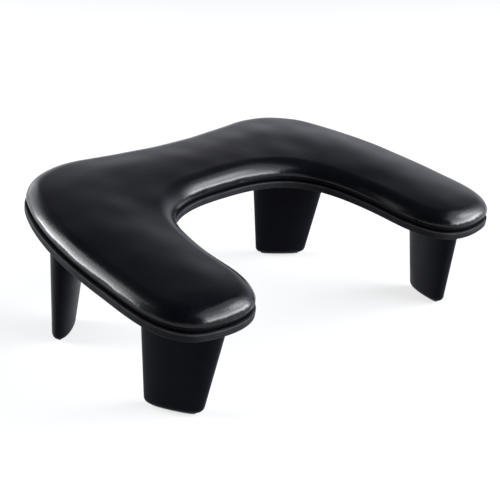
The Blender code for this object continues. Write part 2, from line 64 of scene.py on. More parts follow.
def length(name, description, default):
    """A property that holds a length in metres."""
    return FloatProperty(name=name, description=description, default=default, unit="LENGTH", precision=5)


def degrees(name, description, default):
    """A property that holds an angle, given here in degrees."""
    return FloatProperty(name=name, description=description, default=math.radians(default), subtype="ANGLE")


def number(name, description, default):
    """A property that holds a plain number."""
    return FloatProperty(name=name, description=description, default=default, precision=4)


def count(name, description, default):
    """A property that holds a whole number."""
    return IntProperty(name=name, description=description, default=default, min=3)


def colour(name, description, default):
    """A property that holds a linear colour."""
    return FloatVectorProperty(name=name, description=description, default=default, subtype="COLOR", size=3)


class HandRestPlan(bpy.types.PropertyGroup):
    """Outline of the base plate, seen square to the deck, and the deck's place."""

    width: length("Width", "Across both arms at their fullest", 0.340)
    bridge_depth: length("Bridge depth", "From the bay's edge to the middle of the back", 0.078)
    arm_reach: length("Arm reach", "From the bay's edge to the ends of the arms", 0.1442)
    bay_width: length("Bay width", "Between the arms at their straight part", 0.1716)
    back_swell: length("Back swell", "How far the back bulges past its middle dip", 0.007)
    swell_x: length("Swell place", "Where the back bulges most, from the middle", 0.077)
    shoulder_from_side: length("Shoulder from side", "Shoulder node, in from the side", 0.0235)
    shoulder_from_back: length("Shoulder from back", "Shoulder node, in from the back", 0.0238)
    side_fullest_y: length("Fullest place", "Where the side is fullest, in front of the bay's edge", 0.0645)
    tip_from_side: length("Tip from side", "Outer tip node, in from the side", 0.0249)
    tip_from_bay: length("Tip from bay", "Inner tip node, out from the bay", 0.0079)
    tip_outer_round: length("Outer tip round", "Outer tip node, back from the arm's end", 0.0025)
    tip_inner_round: length("Inner tip round", "Inner tip node, back from the arm's end", 0.0154)
    inner_arm_y: length("Inner arm place", "Where the bay is widest, in front of its edge", 0.073)
    bay_corner_in: length("Bay corner in", "Bay corner node, in from the arm", 0.0258)
    bay_corner_y: length("Bay corner place", "Bay corner node, in front of the bay's edge", 0.013)
    slope: degrees("Slope", "How far the deck leans down towards the open side", 10.3)
    bay_height: length("Bay height", "Height of the plate's underside at the bay's edge", 0.0928)


class HandRestCushion(bpy.types.PropertyGroup):
    """Section of the plate and of the leather, in from the plate's edge and up from its underside."""

    plate_thickness: length("Plate thickness", "Thickness of the base plate", 0.0051)
    arris: length("Arris", "Rounding along the plate's edges", 0.0006)
    gap: length("Gap", "Clearance between touching pieces", 0.0003)
    leather: length("Leather", "Thickness of the leather", 0.0008)
    flange: length("Flange", "How far the leather is turned in under the board", 0.014)
    lip_inset: length("Lip inset", "How far the wrapped lip stands in from the plate's edge", 0.0022)
    lip_round: length("Lip round", "Rounding of the lip's lower edge", 0.0021)
    board_thickness: length("Board thickness", "Thickness of the board under the foam", 0.0020)
    lip_top_round: length("Lip top round", "Rounding of the lip's upper edge", 0.0005)
    crease_depth: length("Crease depth", "How far the crease goes in behind the lip", 0.0014)
    crease_rise: length("Crease rise", "Height of the crease above the board", 0.0008)
    bulge_inset: length("Bulge inset", "Inset of the fullest line of the roll", 0.0010)
    bulge_rise: length("Bulge rise", "Height of the fullest line above the crease", 0.0007)
    top_rise: length("Top rise", "Height of the middle above the fullest line", 0.0113)
    roll_reach: length("Roll reach", "How far in the rolled edge goes", 0.0115)
    roll_height: length("Roll height", "Height of the rolled edge above its fullest line", 0.0080)
    bay_roll_reach: length("Bay roll reach", "Roll reach along the bay's far edge", 0.015)
    bay_roll_height: length("Bay roll height", "Roll height along the bay's far edge", 0.0104)
    bay_roll_fade: length("Bay roll fade", "How far down the arms the bay's fuller roll fades out", 0.06)
    swell: length("Swell", "How far the foam presses the middle of the leather out", 0.0008)
    waver: length("Waver", "How far the roll wavers along its lower edge", 0.00014)
    sag: length("Undulation", "Height of the broad, shallow waves in the leather", 0.00009)
    pleat_height: length("Pleat height", "Height of the small gathers above the crease", 0.00022)
    pleat_spacing: length("Pleat spacing", "From one gather to the next", 0.0065)


class HandRestLegs(bpy.types.PropertyGroup):
    """The tapered legs: half lengths of the oval at the floor and at the reference height."""

    reference: length("Reference height", "Height at which the upper sizes hold", 0.090)
    foot_half_length: length("Foot half length", "Half the oval's length at the floor", 0.0215)
    foot_half_width: length("Foot half width", "Half the oval's width at the floor", 0.0075)
    top_half_length: length("Top half length", "Half the oval's length at the reference height", 0.034)
    top_half_width: length("Top half width", "Half the oval's width at the reference height", 0.0131)
    foot_round: length("Foot round", "Rounding of the lower edge", 0.0045)
    squareness: number("Squareness", "Exponent of the oval: 2 is an ellipse", 2.3)
    front_from_end: length("Front leg from end", "Front leg's middle, back from the arm's end", 0.0399)
    front_off_middle: length("Front leg off middle", "Front leg's middle, out from the arm's middle", 0.0033)
    front_turn: degrees("Front leg turn", "Turn of the front leg's long way from X", 68)
    front_foot_out: length("Front foot out", "How far out the foot is from the reference ring", 0.0074)
    front_foot_back: length("Front foot back", "How far back the foot is from the reference ring", 0.0092)
    back_from_side: length("Back leg from side", "Back leg's middle, in from the side", 0.0535)
    back_from_back: length("Back leg from back", "Back leg's middle, in from the middle of the back", 0.0382)
    back_turn: degrees("Back leg turn", "Turn of the back leg's long way from X", -44)
    back_foot_out: length("Back foot out", "How far out the foot is from the reference ring", 0.0019)
    back_foot_back: length("Back foot back", "How far back the foot is from the reference ring", 0.0152)
    pad_thickness: length("Pad thickness", "Thickness of the foot pads", 0.001)
    pad_inset: length("Pad inset", "How far the pad stands in from the leg's oval", 0.0047)
    pad_round: length("Pad round", "Rounding of the pad's lower edge", 0.0002)


class HandRestScrews(bpy.types.PropertyGroup):
    """The countersunk leg screws and the pan-head cushion screws."""

    radius: length("Radius", "Radius over the thread", 0.0019)
    core: length("Core radius", "Radius at the root of the thread", 0.00135)
    pitch: length("Pitch", "From one turn of the thread to the next", 0.0014)
    point: length("Point", "Length of the point", 0.002)
    tip_radius: length("Tip radius", "Radius of the blunt tip", 0.0006)
    leg_length: length("Leg screw length", "Length of a leg screw with its head", 0.019)
    leg_head_radius: length("Leg screw head", "Radius of the countersunk head", 0.0037)
    leg_head_depth: length("Leg screw head depth", "Depth of the countersunk head", 0.0022)
    pan_length: length("Cushion screw length", "Length of a cushion screw under its head", 0.0085)
    pan_radius: length("Pan head radius", "Radius of the pan head", 0.0036)
    pan_height: length("Pan head height", "Height of the pan head", 0.0022)
    recess_span: length("Recess span", "Length of each arm pair of the cross recess", 0.0038)
    recess_width: length("Recess width", "Width of the cross recess", 0.0009)
    recess_depth: length("Recess depth", "Depth of the cross recess", 0.0012)
    leg_spacing: length("Leg screw spacing", "Between the two screws of a leg", 0.034)
    arm_front_y: length("Front arm screw", "Cushion screw nearest an arm's end, from the bay's edge", 0.054)
    arm_back_y: length("Back arm screw", "Cushion screw at an arm's root, from the bay's edge", 0.016)
    bridge_x: length("Bridge screw", "Cushion screw in the bridge, from the middle", 0.036)


class HandRestLooks(bpy.types.PropertyGroup):
    """Colours and gloss of the finishes."""

    leather: colour("Leather", "Black of the leather", (0.0016, 0.0017, 0.0030))
    leather_pale: colour("Leather, pale", "Leather where the grain is dusty", (0.0038, 0.0040, 0.0058))
    leather_gloss: number("Leather roughness", "Roughness of the leather", 0.22)
    leather_specular: number("Leather specular", "Specular level of the leather", 0.25)
    # Painted shade: the turned leather below the crease is the same leather, given more roughness and a lower
    # specular level so that the lip stays dark.
    lip_gloss: number("Lip roughness", "Roughness of the leather where it is turned round the board", 0.42)
    lip_shade_specular: number("Lip specular", "Specular level of the leather where it is turned", 0.045)
    plate: colour("Plate", "Black of the base plate", (0.0020, 0.0021, 0.0032))
    plate_fleck: colour("Plate fleck", "Colour of the fine flecks in the plate", (0.012, 0.012, 0.013))
    # Painted highlight: the paler colour along the plate's rounded edges, where the light catches them.
    plate_arris_highlight: colour("Plate edge", "Colour of the plate's rubbed edges", (0.045, 0.045, 0.050))
    leg: colour("Leg", "Black of the legs' paint", (0.0030, 0.0032, 0.0052))
    leg_gloss: number("Leg roughness", "Roughness of the legs' paint", 0.42)
    rubber: colour("Rubber", "Black of the foot pads", (0.012, 0.012, 0.012))
    steel: colour("Steel", "Zinc plating of the screws", (0.58, 0.58, 0.56))
    foam: colour("Foam", "Cream of the foam", (0.75, 0.72, 0.60))
    board: colour("Board", "Brown of the board", (0.30, 0.19, 0.10))
    floor: colour("Floor", "Pale floor", (0.26, 0.26, 0.26))


class HandRestCamera(bpy.types.PropertyGroup):
    """The viewpoint."""

    azimuth: degrees("Azimuth", "Turn of the viewpoint from the open side", -44.26)
    elevation: degrees("Elevation", "Height of the viewpoint above level", 21.07)
    distance: length("Distance", "From the viewpoint to the point it looks at", 0.7746)
    lens: number("Lens", "Focal length in millimetres on a 36 mm wide sensor", 78.88)
    target: FloatVectorProperty(
        name="Target", description="The point looked at", default=(-0.04398, -0.04321, 0.0816), subtype="XYZ"
    )


class HandRestDetail(bpy.types.PropertyGroup):
    """How fine the surfaces are."""

    run_steps: count("Run steps", "Steps in each run of the outline", 160)
    plan_stations: count("Plan stations", "Points along each side of an arm and half the bridge", 170)
    roll_rows: count("Roll rows", "Rows of points up the rolled edge", 30)
    crown_rows: count("Crown rows", "Rows of points over the crown", 22)
    swell_stations: count("Swell stations", "Points along each run of the outline in the simulated copy", 60)
    swell_voxel: length("Swell voxel", "Size of the simulated copy's faces", 0.005)
    swell_frames: count("Swell frames", "Frames that the simulation runs", 20)
    leg_sides: count("Leg sides", "Points round a leg", 112)
    leg_rows: count("Leg rows", "Rows of points up a leg", 20)
    screw_sides: count("Screw sides", "Points round a screw", 40)
    thread_rows: count("Thread rows", "Rows of points in each turn of the thread", 5)


GROUPS = {
    "plan": HandRestPlan,
    "cushion": HandRestCushion,
    "legs": HandRestLegs,
    "screws": HandRestScrews,
    "looks": HandRestLooks,
    "camera": HandRestCamera,
    "detail": HandRestDetail,
}


class HandRestSettings(bpy.types.PropertyGroup):
    """Everything that a user can set."""

    plan: PointerProperty(type=HandRestPlan)
    cushion: PointerProperty(type=HandRestCushion)
    legs: PointerProperty(type=HandRestLegs)
    screws: PointerProperty(type=HandRestScrews)
    looks: PointerProperty(type=HandRestLooks)
    camera: PointerProperty(type=HandRestCamera)
    detail: PointerProperty(type=HandRestDetail)


def settings():
    """The scene's settings."""
    return bpy.context.scene.hand_rest


# Outline


def plan_nodes(plan):
    """Half of the plate's outline, clockwise from the back to the bay: x, y and heading in degrees."""
    half, bay, reach = plan.width / 2, plan.bay_width / 2, plan.arm_reach
    return [
        (0.0, plan.bridge_depth, 0.0),
        (plan.swell_x, plan.bridge_depth + plan.back_swell, 8.6),
        (half - plan.shoulder_from_side, plan.bridge_depth - plan.shoulder_from_back, -63.6),
        (half, -plan.side_fullest_y, -89.0),
        (half - plan.tip_from_side, plan.tip_outer_round - reach, -166.6),
        (bay + plan.tip_from_bay, plan.tip_inner_round - reach, -241.8),
        (bay, -plan.inner_arm_y, -263.4),
        (bay - plan.bay_corner_in, -plan.bay_corner_y, -214.4),
        (0.0, 0.0, -180.0),
    ]


def hermite_run(start, end, steps):
    """A cubic run between two nodes: p(u) blends both points and both tangents, which are as long as the
    chord over the squared cosine of a quarter of the turn, so a run that can be an arc is one.
    """
    from_point, to_point = np.array(start[:2]), np.array(end[:2])
    from_heading, to_heading = math.radians(start[2]), math.radians(end[2])
    pull = np.linalg.norm(to_point - from_point) / math.cos((to_heading - from_heading) / 4) ** 2
    from_pull = pull * np.array([math.cos(from_heading), math.sin(from_heading)])
    to_pull = pull * np.array([math.cos(to_heading), math.sin(to_heading)])
    u = np.linspace(0, 1, steps, endpoint=False)[:, None]
    return (
        (2 * u**3 - 3 * u**2 + 1) * from_point
        + (u**3 - 2 * u**2 + u) * from_pull
        + (3 * u**2 - 2 * u**3) * to_point
        + (u**3 - u**2) * to_pull
    )


def resampled(points, shares):
    """Points at the given shares of a run's length."""
    steps = np.linalg.norm(np.diff(points, axis=0), axis=1)
    along = np.concatenate([[0.0], np.cumsum(steps)])
    wanted = np.asarray(shares) * along[-1]
    return np.column_stack([np.interp(wanted, along, points[:, axis]) for axis in (0, 1)])


# The points crowd towards an arm's end by this power of their share of its side, and over this share of the
# side they all face the same foot.
TIP_CROWDING = 1.35
TIP_FAN_SHARE = 0.17
# The stations of the outline that only places the deck, and the least length that a vector is divided by.
PLACING_STATIONS = 30
SHORTEST = 1e-12


def unit(vectors):
    """Vectors brought to a length of one along the last axis."""
    return vectors / np.maximum(np.linalg.norm(vectors, axis=-1, keepdims=True), SHORTEST)


def eased(share):
    """A share from 0 to 1 that starts and ends level: three times its square less twice its cube."""
    return share * share * (3 - 2 * share)


def closed_plan(stations):
    """(points, inward normals, feet on the spine) of the outline, anticlockwise from the right tip.

    Both sides of an arm are split at the same shares of their length, so each outer point faces an
    inner one, and the spine runs midway between them.
    """
    nodes = plan_nodes(settings().plan)
    steps = settings().detail.run_steps
    runs = [hermite_run(start, end, steps) for start, end in zip(nodes, nodes[1:])]
    half = np.vstack(runs + [np.array([nodes[-1][:2]])])
    tip = int(np.argmin(half[:, 1]))
    shares = np.linspace(0, 1, stations + 1) ** TIP_CROWDING
    outer = resampled(half[: tip + 1][::-1], shares)
    inner = resampled(half[tip:], shares)
    spine = (outer + inner) / 2
    fan = np.searchsorted(shares, TIP_FAN_SHARE)
    spine[:fan] = spine[fan]
    mirror = np.array([-1.0, 1.0])
    points = np.vstack([outer, (outer * mirror)[-2::-1], (inner * mirror)[1:], inner[-2:0:-1]])
    feet = np.vstack([spine, (spine * mirror)[-2::-1], (spine * mirror)[1:], spine[-2:0:-1]])
    ahead = unit(np.roll(points, -1, axis=0) - points)
    behind = unit(points - np.roll(points, 1, axis=0))
    tangent = unit(ahead + behind)
    return points, np.column_stack([-tangent[:, 1], tangent[:, 0]]), feet


def inset_rings(plan, insets):
    """The outline moved inwards by each row of insets: square to the edge near it, and along the line to
    the spine further in, with a smooth change between the two.
    """
    points, inward, feet = plan
    insets = np.broadcast_to(insets, (len(insets), len(points)))[..., None]
    to_foot = feet - points
    share = np.clip(insets / np.linalg.norm(to_foot, axis=1, keepdims=True), 0, 1)
    weight = eased(share)
    return (points + inward * insets) * (1 - weight) + (points + to_foot * share) * weight


def lifted(plan, insets, heights):
    """A grid in the deck's frame: rows of outline points at the given insets and heights."""
    rings = inset_rings(plan, insets)
    heights = np.broadcast_to(heights, rings.shape[:2])
    return np.concatenate([rings, heights[..., None]], axis=2)


def deck_shift():
    """How far the deck's origin lies along Y, so that the plate is centred on the frame's origin."""
    slope = settings().plan.slope
    y = closed_plan(PLACING_STATIONS)[0][:, 1]
    faces = np.array([[0.0], [settings().cushion.plate_thickness]])
    edges = np.array([y.min(), y.max()]) * math.cos(slope) - faces * math.sin(slope)
    return -(edges.min() + edges.max()) / 2


def to_world(grid):
    """Points of the deck's frame turned by the slope and set at the deck's place."""
    plan = settings().plan
    cosine, sine = math.cos(plan.slope), math.sin(plan.slope)
    x, y, z = np.moveaxis(np.asarray(grid, float), -1, 0)
    across = y * cosine - z * sine + deck_shift()
    return np.stack([x, across, y * sine + z * cosine + plan.bay_height], axis=-1)


def to_deck(points):
    """Points of the world in the deck's frame: to_world undone."""
    plan = settings().plan
    cosine, sine = math.cos(plan.slope), math.sin(plan.slope)
    x, y, z = np.moveaxis(points - np.array([0.0, deck_shift(), plan.bay_height]), -1, 0)
    return np.stack([x, y * cosine + z * sine, z * cosine - y * sine], axis=-1)


# Meshes


def placed(name, data):
    """A new object in the scene for a mesh, a lamp or a camera."""
    obj = bpy.data.objects.new(name, data)
    bpy.context.scene.collection.objects.link(obj)
    return obj


def applied(obj):
    """The object's mesh with its modifiers applied. They are taken off the object."""
    bpy.context.view_layer.update()
    mesh = bpy.data.meshes.new_from_object(obj.evaluated_get(bpy.context.evaluated_depsgraph_get()))
    obj.modifiers.clear()
    return mesh


def mesh_points(mesh):
    """The points of a mesh as an array."""
    points = np.empty(len(mesh.vertices) * 3)
    mesh.vertices.foreach_get("co", points)
    return points.reshape(-1, 3)


def surface(name, grid, weld=1e-6):
    """A mesh through a grid whose columns close on themselves: one quad between neighbouring points, with
    coincident points made one, and all faces pointing outwards.
    """
    rows, columns = grid.shape[:2]
    start = np.arange(rows - 1)[:, None] * columns
    here = np.arange(columns)[None, :]
    after = (here + 1) % columns
    quads = np.stack([start + here, start + after, start + after + columns, start + here + columns], axis=-1)
    mesh = bpy.data.meshes.new(name)
    mesh.from_pydata(grid.reshape(-1, 3).tolist(), [], quads.reshape(-1, 4).tolist())
    work = bmesh.new()
    work.from_mesh(mesh)
    bmesh.ops.remove_doubles(work, verts=work.verts, dist=weld)
    bmesh.ops.dissolve_degenerate(work, edges=work.edges, dist=weld / 10)
    bmesh.ops.recalc_face_normals(work, faces=work.faces)
    if work.calc_volume(signed=True) < 0:
        bmesh.ops.reverse_faces(work, faces=work.faces)
    work.to_mesh(mesh)
    work.free()
    return mesh


def new_piece(name, mesh, material, node, sharp=math.radians(35)):
    """A finished piece: in its material, riding on the body and standing for its CAD node."""
    mesh.shade_smooth()
    mesh.set_sharp_from_angle(angle=sharp)
    mesh.materials.clear()
    mesh.materials.append(material)
    piece = placed(name, mesh)
    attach(piece, BODY)
    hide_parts(node)
    return piece


def grid_normals(grid):
    """Unit normals of a grid with closed columns, square to the rows' and the columns' directions."""
    down = np.gradient(grid, axis=0)
    along = np.roll(grid, -1, axis=1) - np.roll(grid, 1, axis=1)
    return unit(np.cross(along, down))


# Materials


class Nodes:
    """A node tree under construction, with short calls for the nodes that it takes."""

    def __init__(self, owner):
        owner.use_nodes = True
        self.tree = owner.node_tree

    def add(self, kind, **values):
        """A node with its properties and input values set."""
        node = self.tree.nodes.new(kind)
        for key, value in values.items():
            if hasattr(node, key):
                setattr(node, key, value)
            else:
                node.inputs[key.replace("_", " ").title()].default_value = value
        return node

    def link(self, source, target):
        """Joins an output to an input."""
        self.tree.links.new(source, target)

    def mapped(self, value, low, high, to_low=0.0, to_high=1.0, smooth=False):
        """A value taken from one range to another and kept within it."""
        node = self.add("ShaderNodeMapRange", clamp=True)
        node.interpolation_type = "SMOOTHSTEP" if smooth else "LINEAR"
        for socket, end in zip(node.inputs[1:5], (low, high, to_low, to_high)):
            socket.default_value = end
        self.link(value, node.inputs[0])
        return node.outputs[0]

    def combined(self, kind, operation, first, second):
        """Two outputs, or an output and a value, put together by a node that calculates."""
        node = self.add(kind, operation=operation)
        for socket, value in zip(node.inputs, (first, second)):
            if isinstance(value, bpy.types.NodeSocket):
                self.link(value, socket)
            else:
                socket.default_value = value
        return node.outputs


class Finish(Nodes):
    """A material under construction: a Principled shader and the patterns that feed it."""

    def __init__(self, name, roughness, metallic=0.0, specular=0.5):
        self.material = bpy.data.materials.new(name)
        super().__init__(self.material)
        self.shader = self.tree.nodes["Principled BSDF"].inputs
        self.shader["Roughness"].default_value = roughness
        self.shader["Metallic"].default_value = metallic
        self.shader["Specular IOR Level"].default_value = specular
        self.place = self.add("ShaderNodeTexCoord").outputs["Object"]
        self.relief = None

    def pattern(self, kind, output, **values):
        """An output of a texture on object coordinates."""
        node = self.add(kind, **values)
        self.link(self.place, node.inputs["Vector"])
        return node.outputs[output]

    def noise(self, scale, detail=2.0, roughness=0.5, distortion=0.0):
        """Noise; scale counts waves in a metre."""
        values = {"scale": scale, "detail": detail, "roughness": roughness, "distortion": distortion}
        return self.pattern("ShaderNodeTexNoise", "Fac", **values)

    def cells(self, scale, feature="F1"):
        """Distance in a pattern of cells; scale counts cells in a metre."""
        return self.pattern("ShaderNodeTexVoronoi", "Distance", feature=feature, scale=scale)

    def blend(self, factor, first, second):
        """A colour between two, each a colour value or an output."""
        node = self.add("ShaderNodeMix", data_type="RGBA")
        sockets = [socket for socket in node.inputs if socket.type == "RGBA"]
        for socket, value in zip(sockets, (first, second)):
            if isinstance(value, bpy.types.NodeSocket):
                self.link(value, socket)
            else:
                socket.default_value = (*value, 1.0)
        self.link(factor, node.inputs[0])
        return [socket for socket in node.outputs if socket.type == "RGBA"][0]

    def colour(self, value, low, high, first, second):
        """Feeds the base colour, which goes from the first to the second as the value goes up its range."""
        self.link(self.blend(self.mapped(value, low, high), first, second), self.shader["Base Color"])

    def gloss(self, value, low, high, smoothest, roughest):
        """Feeds the roughness, which goes up its own range as the value does."""
        self.link(self.mapped(value, low, high, smoothest, roughest), self.shader["Roughness"])

    def bump(self, height, distance, strength):
        """A relief of the given depth in metres, laid over the ones before it."""
        node = self.add("ShaderNodeBump", distance=distance, strength=strength)
        self.link(height, node.inputs["Height"])
        if self.relief is not None:
            self.link(self.relief, node.inputs["Normal"])
        self.relief = node.outputs["Normal"]
        self.link(self.relief, self.shader["Normal"])


def shaded(tone, factor):
    """A colour made lighter or darker."""
    return [factor * value for value in tone]


def leather_finish(name, gloss, specular):
    """Black imitation leather: a fine pebble grain, soft wear and a top coat of the given roughness."""
    looks = settings().looks
    finish = Finish(name, gloss, specular=specular)
    finish.colour(finish.noise(900.0), 0.35, 0.75, looks.leather, looks.leather_pale)
    finish.gloss(finish.noise(28.0, 3.0), 0.3, 0.7, gloss - 0.03, gloss + 0.04)
    finish.bump(finish.cells(820.0, "SMOOTH_F1"), 0.0001, 0.55)
    finish.bump(finish.noise(2600.0), 0.00003, 0.35)
    finish.bump(finish.noise(210.0, 3.0, 0.6), 0.00008, 0.4)
    return finish.material


def plate_finish():
    """Matt black moulding with fine flecks, and a painted highlight, broken up by noise, along its rounded
    edges.
    """
    looks = settings().looks
    finish = Finish("plate_plastic", 0.5, specular=0.03)
    flecks = finish.mapped(finish.noise(2100.0, 2.0, 0.6), 0.52, 0.72)
    body = finish.blend(flecks, looks.plate, looks.plate_fleck)
    # Painted highlight: the rounded edges are paler in patches, where the light catches them.
    patchy = finish.mapped(finish.noise(140.0, 3.0), 0.2, 0.6, 0.45, 1.0)
    edge = finish.add("ShaderNodeAttribute", attribute_name="edge").outputs["Fac"]
    highlighted = finish.combined("ShaderNodeMath", "MULTIPLY", edge, patchy)[0]
    finish.link(finish.blend(highlighted, body, looks.plate_arris_highlight), finish.shader["Base Color"])
    finish.gloss(flecks, 0.0, 1.0, 0.46, 0.62)
    finish.bump(finish.noise(1500.0, 3.0, 0.6), 0.00005, 0.5)
    return finish.material


def leg_finish():
    """Black satin paint with a faint orange peel."""
    looks = settings().looks
    finish = Finish("leg_paint", looks.leg_gloss, specular=0.035)
    finish.colour(finish.noise(60.0, 4.0), 0.3, 0.7, looks.leg, shaded(looks.leg, 1.5))
    finish.gloss(finish.noise(35.0, 3.0), 0.3, 0.7, looks.leg_gloss - 0.05, looks.leg_gloss + 0.05)
    finish.bump(finish.noise(480.0), 0.00004, 0.4)
    finish.bump(finish.noise(2200.0, 1.0), 0.00002, 0.3)
    return finish.material


def rubber_finish():
    """Matt black rubber with fine ribs across the tread."""
    rubber = settings().looks.rubber
    finish = Finish("pad_rubber", 0.85)
    finish.colour(finish.noise(400.0, 3.0), 0.3, 0.7, rubber, shaded(rubber, 1.8))
    finish.bump(finish.pattern("ShaderNodeTexWave", "Fac", scale=95.0), 0.0002, 0.6)
    return finish.material


def steel_finish():
    """Zinc-plated steel, a little dulled."""
    steel = settings().looks.steel
    finish = Finish("screw_steel", 0.3, metallic=1.0)
    finish.colour(finish.noise(700.0, 4.0), 0.3, 0.7, steel, shaded(steel, 0.75))
    finish.gloss(finish.noise(1300.0), 0.3, 0.7, 0.26, 0.42)
    return finish.material


def foam_finish():
    """Cream foam with open cells."""
    foam = settings().looks.foam
    finish = Finish("foam", 0.95)
    cells = finish.cells(650.0)
    # Painted shade: the cells' hollows, where the bump is lowest, are darker.
    finish.colour(cells, 0.1, 0.6, shaded(foam, 0.6), foam)
    finish.bump(cells, 0.0006, 0.8)
    return finish.material


def board_finish():
    """Brown fibreboard."""
    board = settings().looks.board
    finish = Finish("board", 0.85)
    fibres = finish.noise(900.0, 5.0, 0.7, 1.5)
    finish.colour(fibres, 0.3, 0.7, board, shaded(board, 1.4))
    finish.bump(fibres, 0.0001, 0.5)
    return finish.material


# Leather cover


def cover_levels(cushion):
    """Heights above the plate's underside: flange, board's top, crease and fullest line."""
    flange = cushion.plate_thickness + cushion.gap
    board_top = flange + cushion.leather + cushion.gap + cushion.board_thickness
    crease = board_top + cushion.crease_rise
    return flange, board_top, crease, crease + cushion.bulge_rise


def arc(centre, radius, start, end, steps):
    """Inset and height along an arc, with its angles in degrees from straight in."""
    angle = np.radians(np.linspace(start, end, steps))
    return np.column_stack([centre[0] + radius * np.cos(angle), centre[1] + radius * np.sin(angle)])


# Points along the flange, in the lip's two arcs and in the belly.
FLANGE_POINTS = 6
LIP_POINTS = 7
LIP_TOP_POINTS = 6
BELLY_POINTS = 7
# The lip's upper arc ends short of its top, and the belly starts a little up its quarter, in degrees.
LIP_TOP_END = 112
BELLY_START = 12
# How far below the board's top the upper arc's centre lies, as a share of the arc's radius.
LIP_TOP_DROP = 0.4


def edge_section(cushion):
    """Inset and height from the flange's inner edge, round the lip and the crease, to the fullest line.

    The lip's two edges are arcs. The belly over the crease is a quarter of an ellipse: its inset falls with
    the sine of the angle, and its height grows with one less the cosine.
    """
    flange, board_top, crease, _ = cover_levels(cushion)
    lip, low, high = cushion.lip_inset, cushion.lip_round, cushion.lip_top_round
    inward = np.linspace(lip + cushion.flange, lip + 2 * low, FLANGE_POINTS)
    under = np.column_stack([inward, np.full(FLANGE_POINTS, flange)])
    turn = arc((lip + low, flange + low), low, 270, 180, LIP_POINTS)
    over = arc((lip + high, board_top - LIP_TOP_DROP * high), high, 180, LIP_TOP_END, LIP_TOP_POINTS)
    deepest = lip + cushion.crease_depth
    quarter = np.radians(np.linspace(BELLY_START, 90, BELLY_POINTS))[:-1]
    belly = np.column_stack([
        deepest - (deepest - cushion.bulge_inset) * np.sin(quarter),
        crease + cushion.bulge_rise * (1 - np.cos(quarter)),
    ])
    return np.vstack([under, turn, over, [(deepest, crease)], belly])


def roll_sizes(plan):
    """Reach and height of the rolled edge at each point of the outline. Both grow where the edge faces out
    of the bay, which is along its far edge, and the growth fades out down the arms.
    """
    cushion = settings().cushion
    points, inward, _ = plan
    fade = np.clip(1 + points[:, 1] / cushion.bay_roll_fade, 0, 1)
    share = np.clip(inward[:, 1], 0, 1) * eased(fade)
    reach = cushion.roll_reach + (cushion.bay_roll_reach - cushion.roll_reach) * share
    return reach, cushion.roll_height + (cushion.bay_roll_height - cushion.roll_height) * share


def dome_grid(plan, clearance, roll_rows, crown_rows):
    """Rows from the fullest line up to the spine, set in from the leather's face by the clearance.

    The section is a quarter of an ellipse up the rolled edge, and over it a crown that rises as a parabola
    up to the spine. The clearance is taken off square to the section.
    """
    cushion = settings().cushion
    points, _, feet = plan
    reach_in = np.linalg.norm(feet - points, axis=1)
    reach, roll = roll_sizes(plan)
    angle = np.linspace(0, math.pi / 2, roll_rows)[:, None]
    onward = np.linspace(0, 1, crown_rows + 1)[1:, None]
    roll_inset = cushion.bulge_inset + reach * (1 - np.cos(angle))
    inset = np.vstack([roll_inset, roll_inset[-1] + (reach_in - roll_inset[-1]) * onward])
    rise = np.vstack([roll * np.sin(angle), np.broadcast_to(roll, (crown_rows, len(roll)))])
    crown = (cushion.top_rise - roll) * (1 - (1 - inset / reach_in) ** 2)
    height = cover_levels(cushion)[3] + rise + crown
    across, up = np.gradient(inset, axis=0), np.gradient(height, axis=0)
    steepness = np.hypot(across, up)
    across[-1], up[-1], steepness[-1] = 1.0, 0.0, 1.0
    inset = np.minimum(inset + clearance * up / steepness, reach_in)
    return lifted(plan, inset, height - clearance * across / steepness)


# The shortest and the longest wave as shares of the wavelength, and how far the waves lean out of level.
WAVE_SPREAD = (0.7, 1.6)
WAVE_LEAN = 0.4


def wave_sum(points, wavelength, seed, waves=9):
    """A smooth pattern of broad waves between about -1 and 1: plane sine waves with seeded directions,
    lengths and phases, added up over whole arrays of points.
    """
    chance = np.random.default_rng(seed)
    total = np.zeros(points.shape[:-1])
    for _ in range(waves):
        heading = chance.uniform(0, 2 * math.pi)
        pace = 2 * math.pi / (wavelength * chance.uniform(*WAVE_SPREAD))
        lean = WAVE_LEAN * math.sin(2 * heading)
        direction = pace * np.array([math.cos(heading), math.sin(heading), lean])
        total += np.sin(points @ direction + chance.uniform(0, 2 * math.pi))
    return total / math.sqrt(waves)


def bend_of_outline(plan):
    """How sharply the outline turns at each point, in radians a metre, positive where it bulges out."""
    points, inward, _ = plan
    turn = np.roll(inward, -1, axis=0) - np.roll(inward, 1, axis=0)
    chord = np.roll(points, -1, axis=0) - np.roll(points, 1, axis=0)
    return -np.sum(turn * chord, axis=1) / np.sum(chord * chord, axis=1)


def softened(values, reach):
    """Values round a closed line, averaged over a bell-shaped window."""
    window = np.exp(-0.5 * (np.arange(-3 * reach, 3 * reach + 1) / reach) ** 2)
    window /= window.sum()
    wrapped = np.concatenate([values[-3 * reach:], values, values[:3 * reach]])
    return np.convolve(wrapped, window, mode="valid")


# The lengths of the leather's waves, and the seeds of their random draws.
SAG_WAVE, SAG_SEED, SAG_WAVES = 0.035, 3, 18
GATHER_WAVE, GATHER_SEED = 0.03, 5
WAVER_WAVE, WAVER_SEED = 0.022, 11
# How much the gathers' spacing strays, and the bend, in radians a metre, at which they are fullest.
GATHER_STRAY = 2.2
FULL_BEND = 40
# Stations over which the bend is averaged.
BEND_WINDOW = 8
# The heights above the crease at which the folds are full, and at which they have mostly faded.
FOLD_START = 0.0006
FOLD_FADE = 0.0028


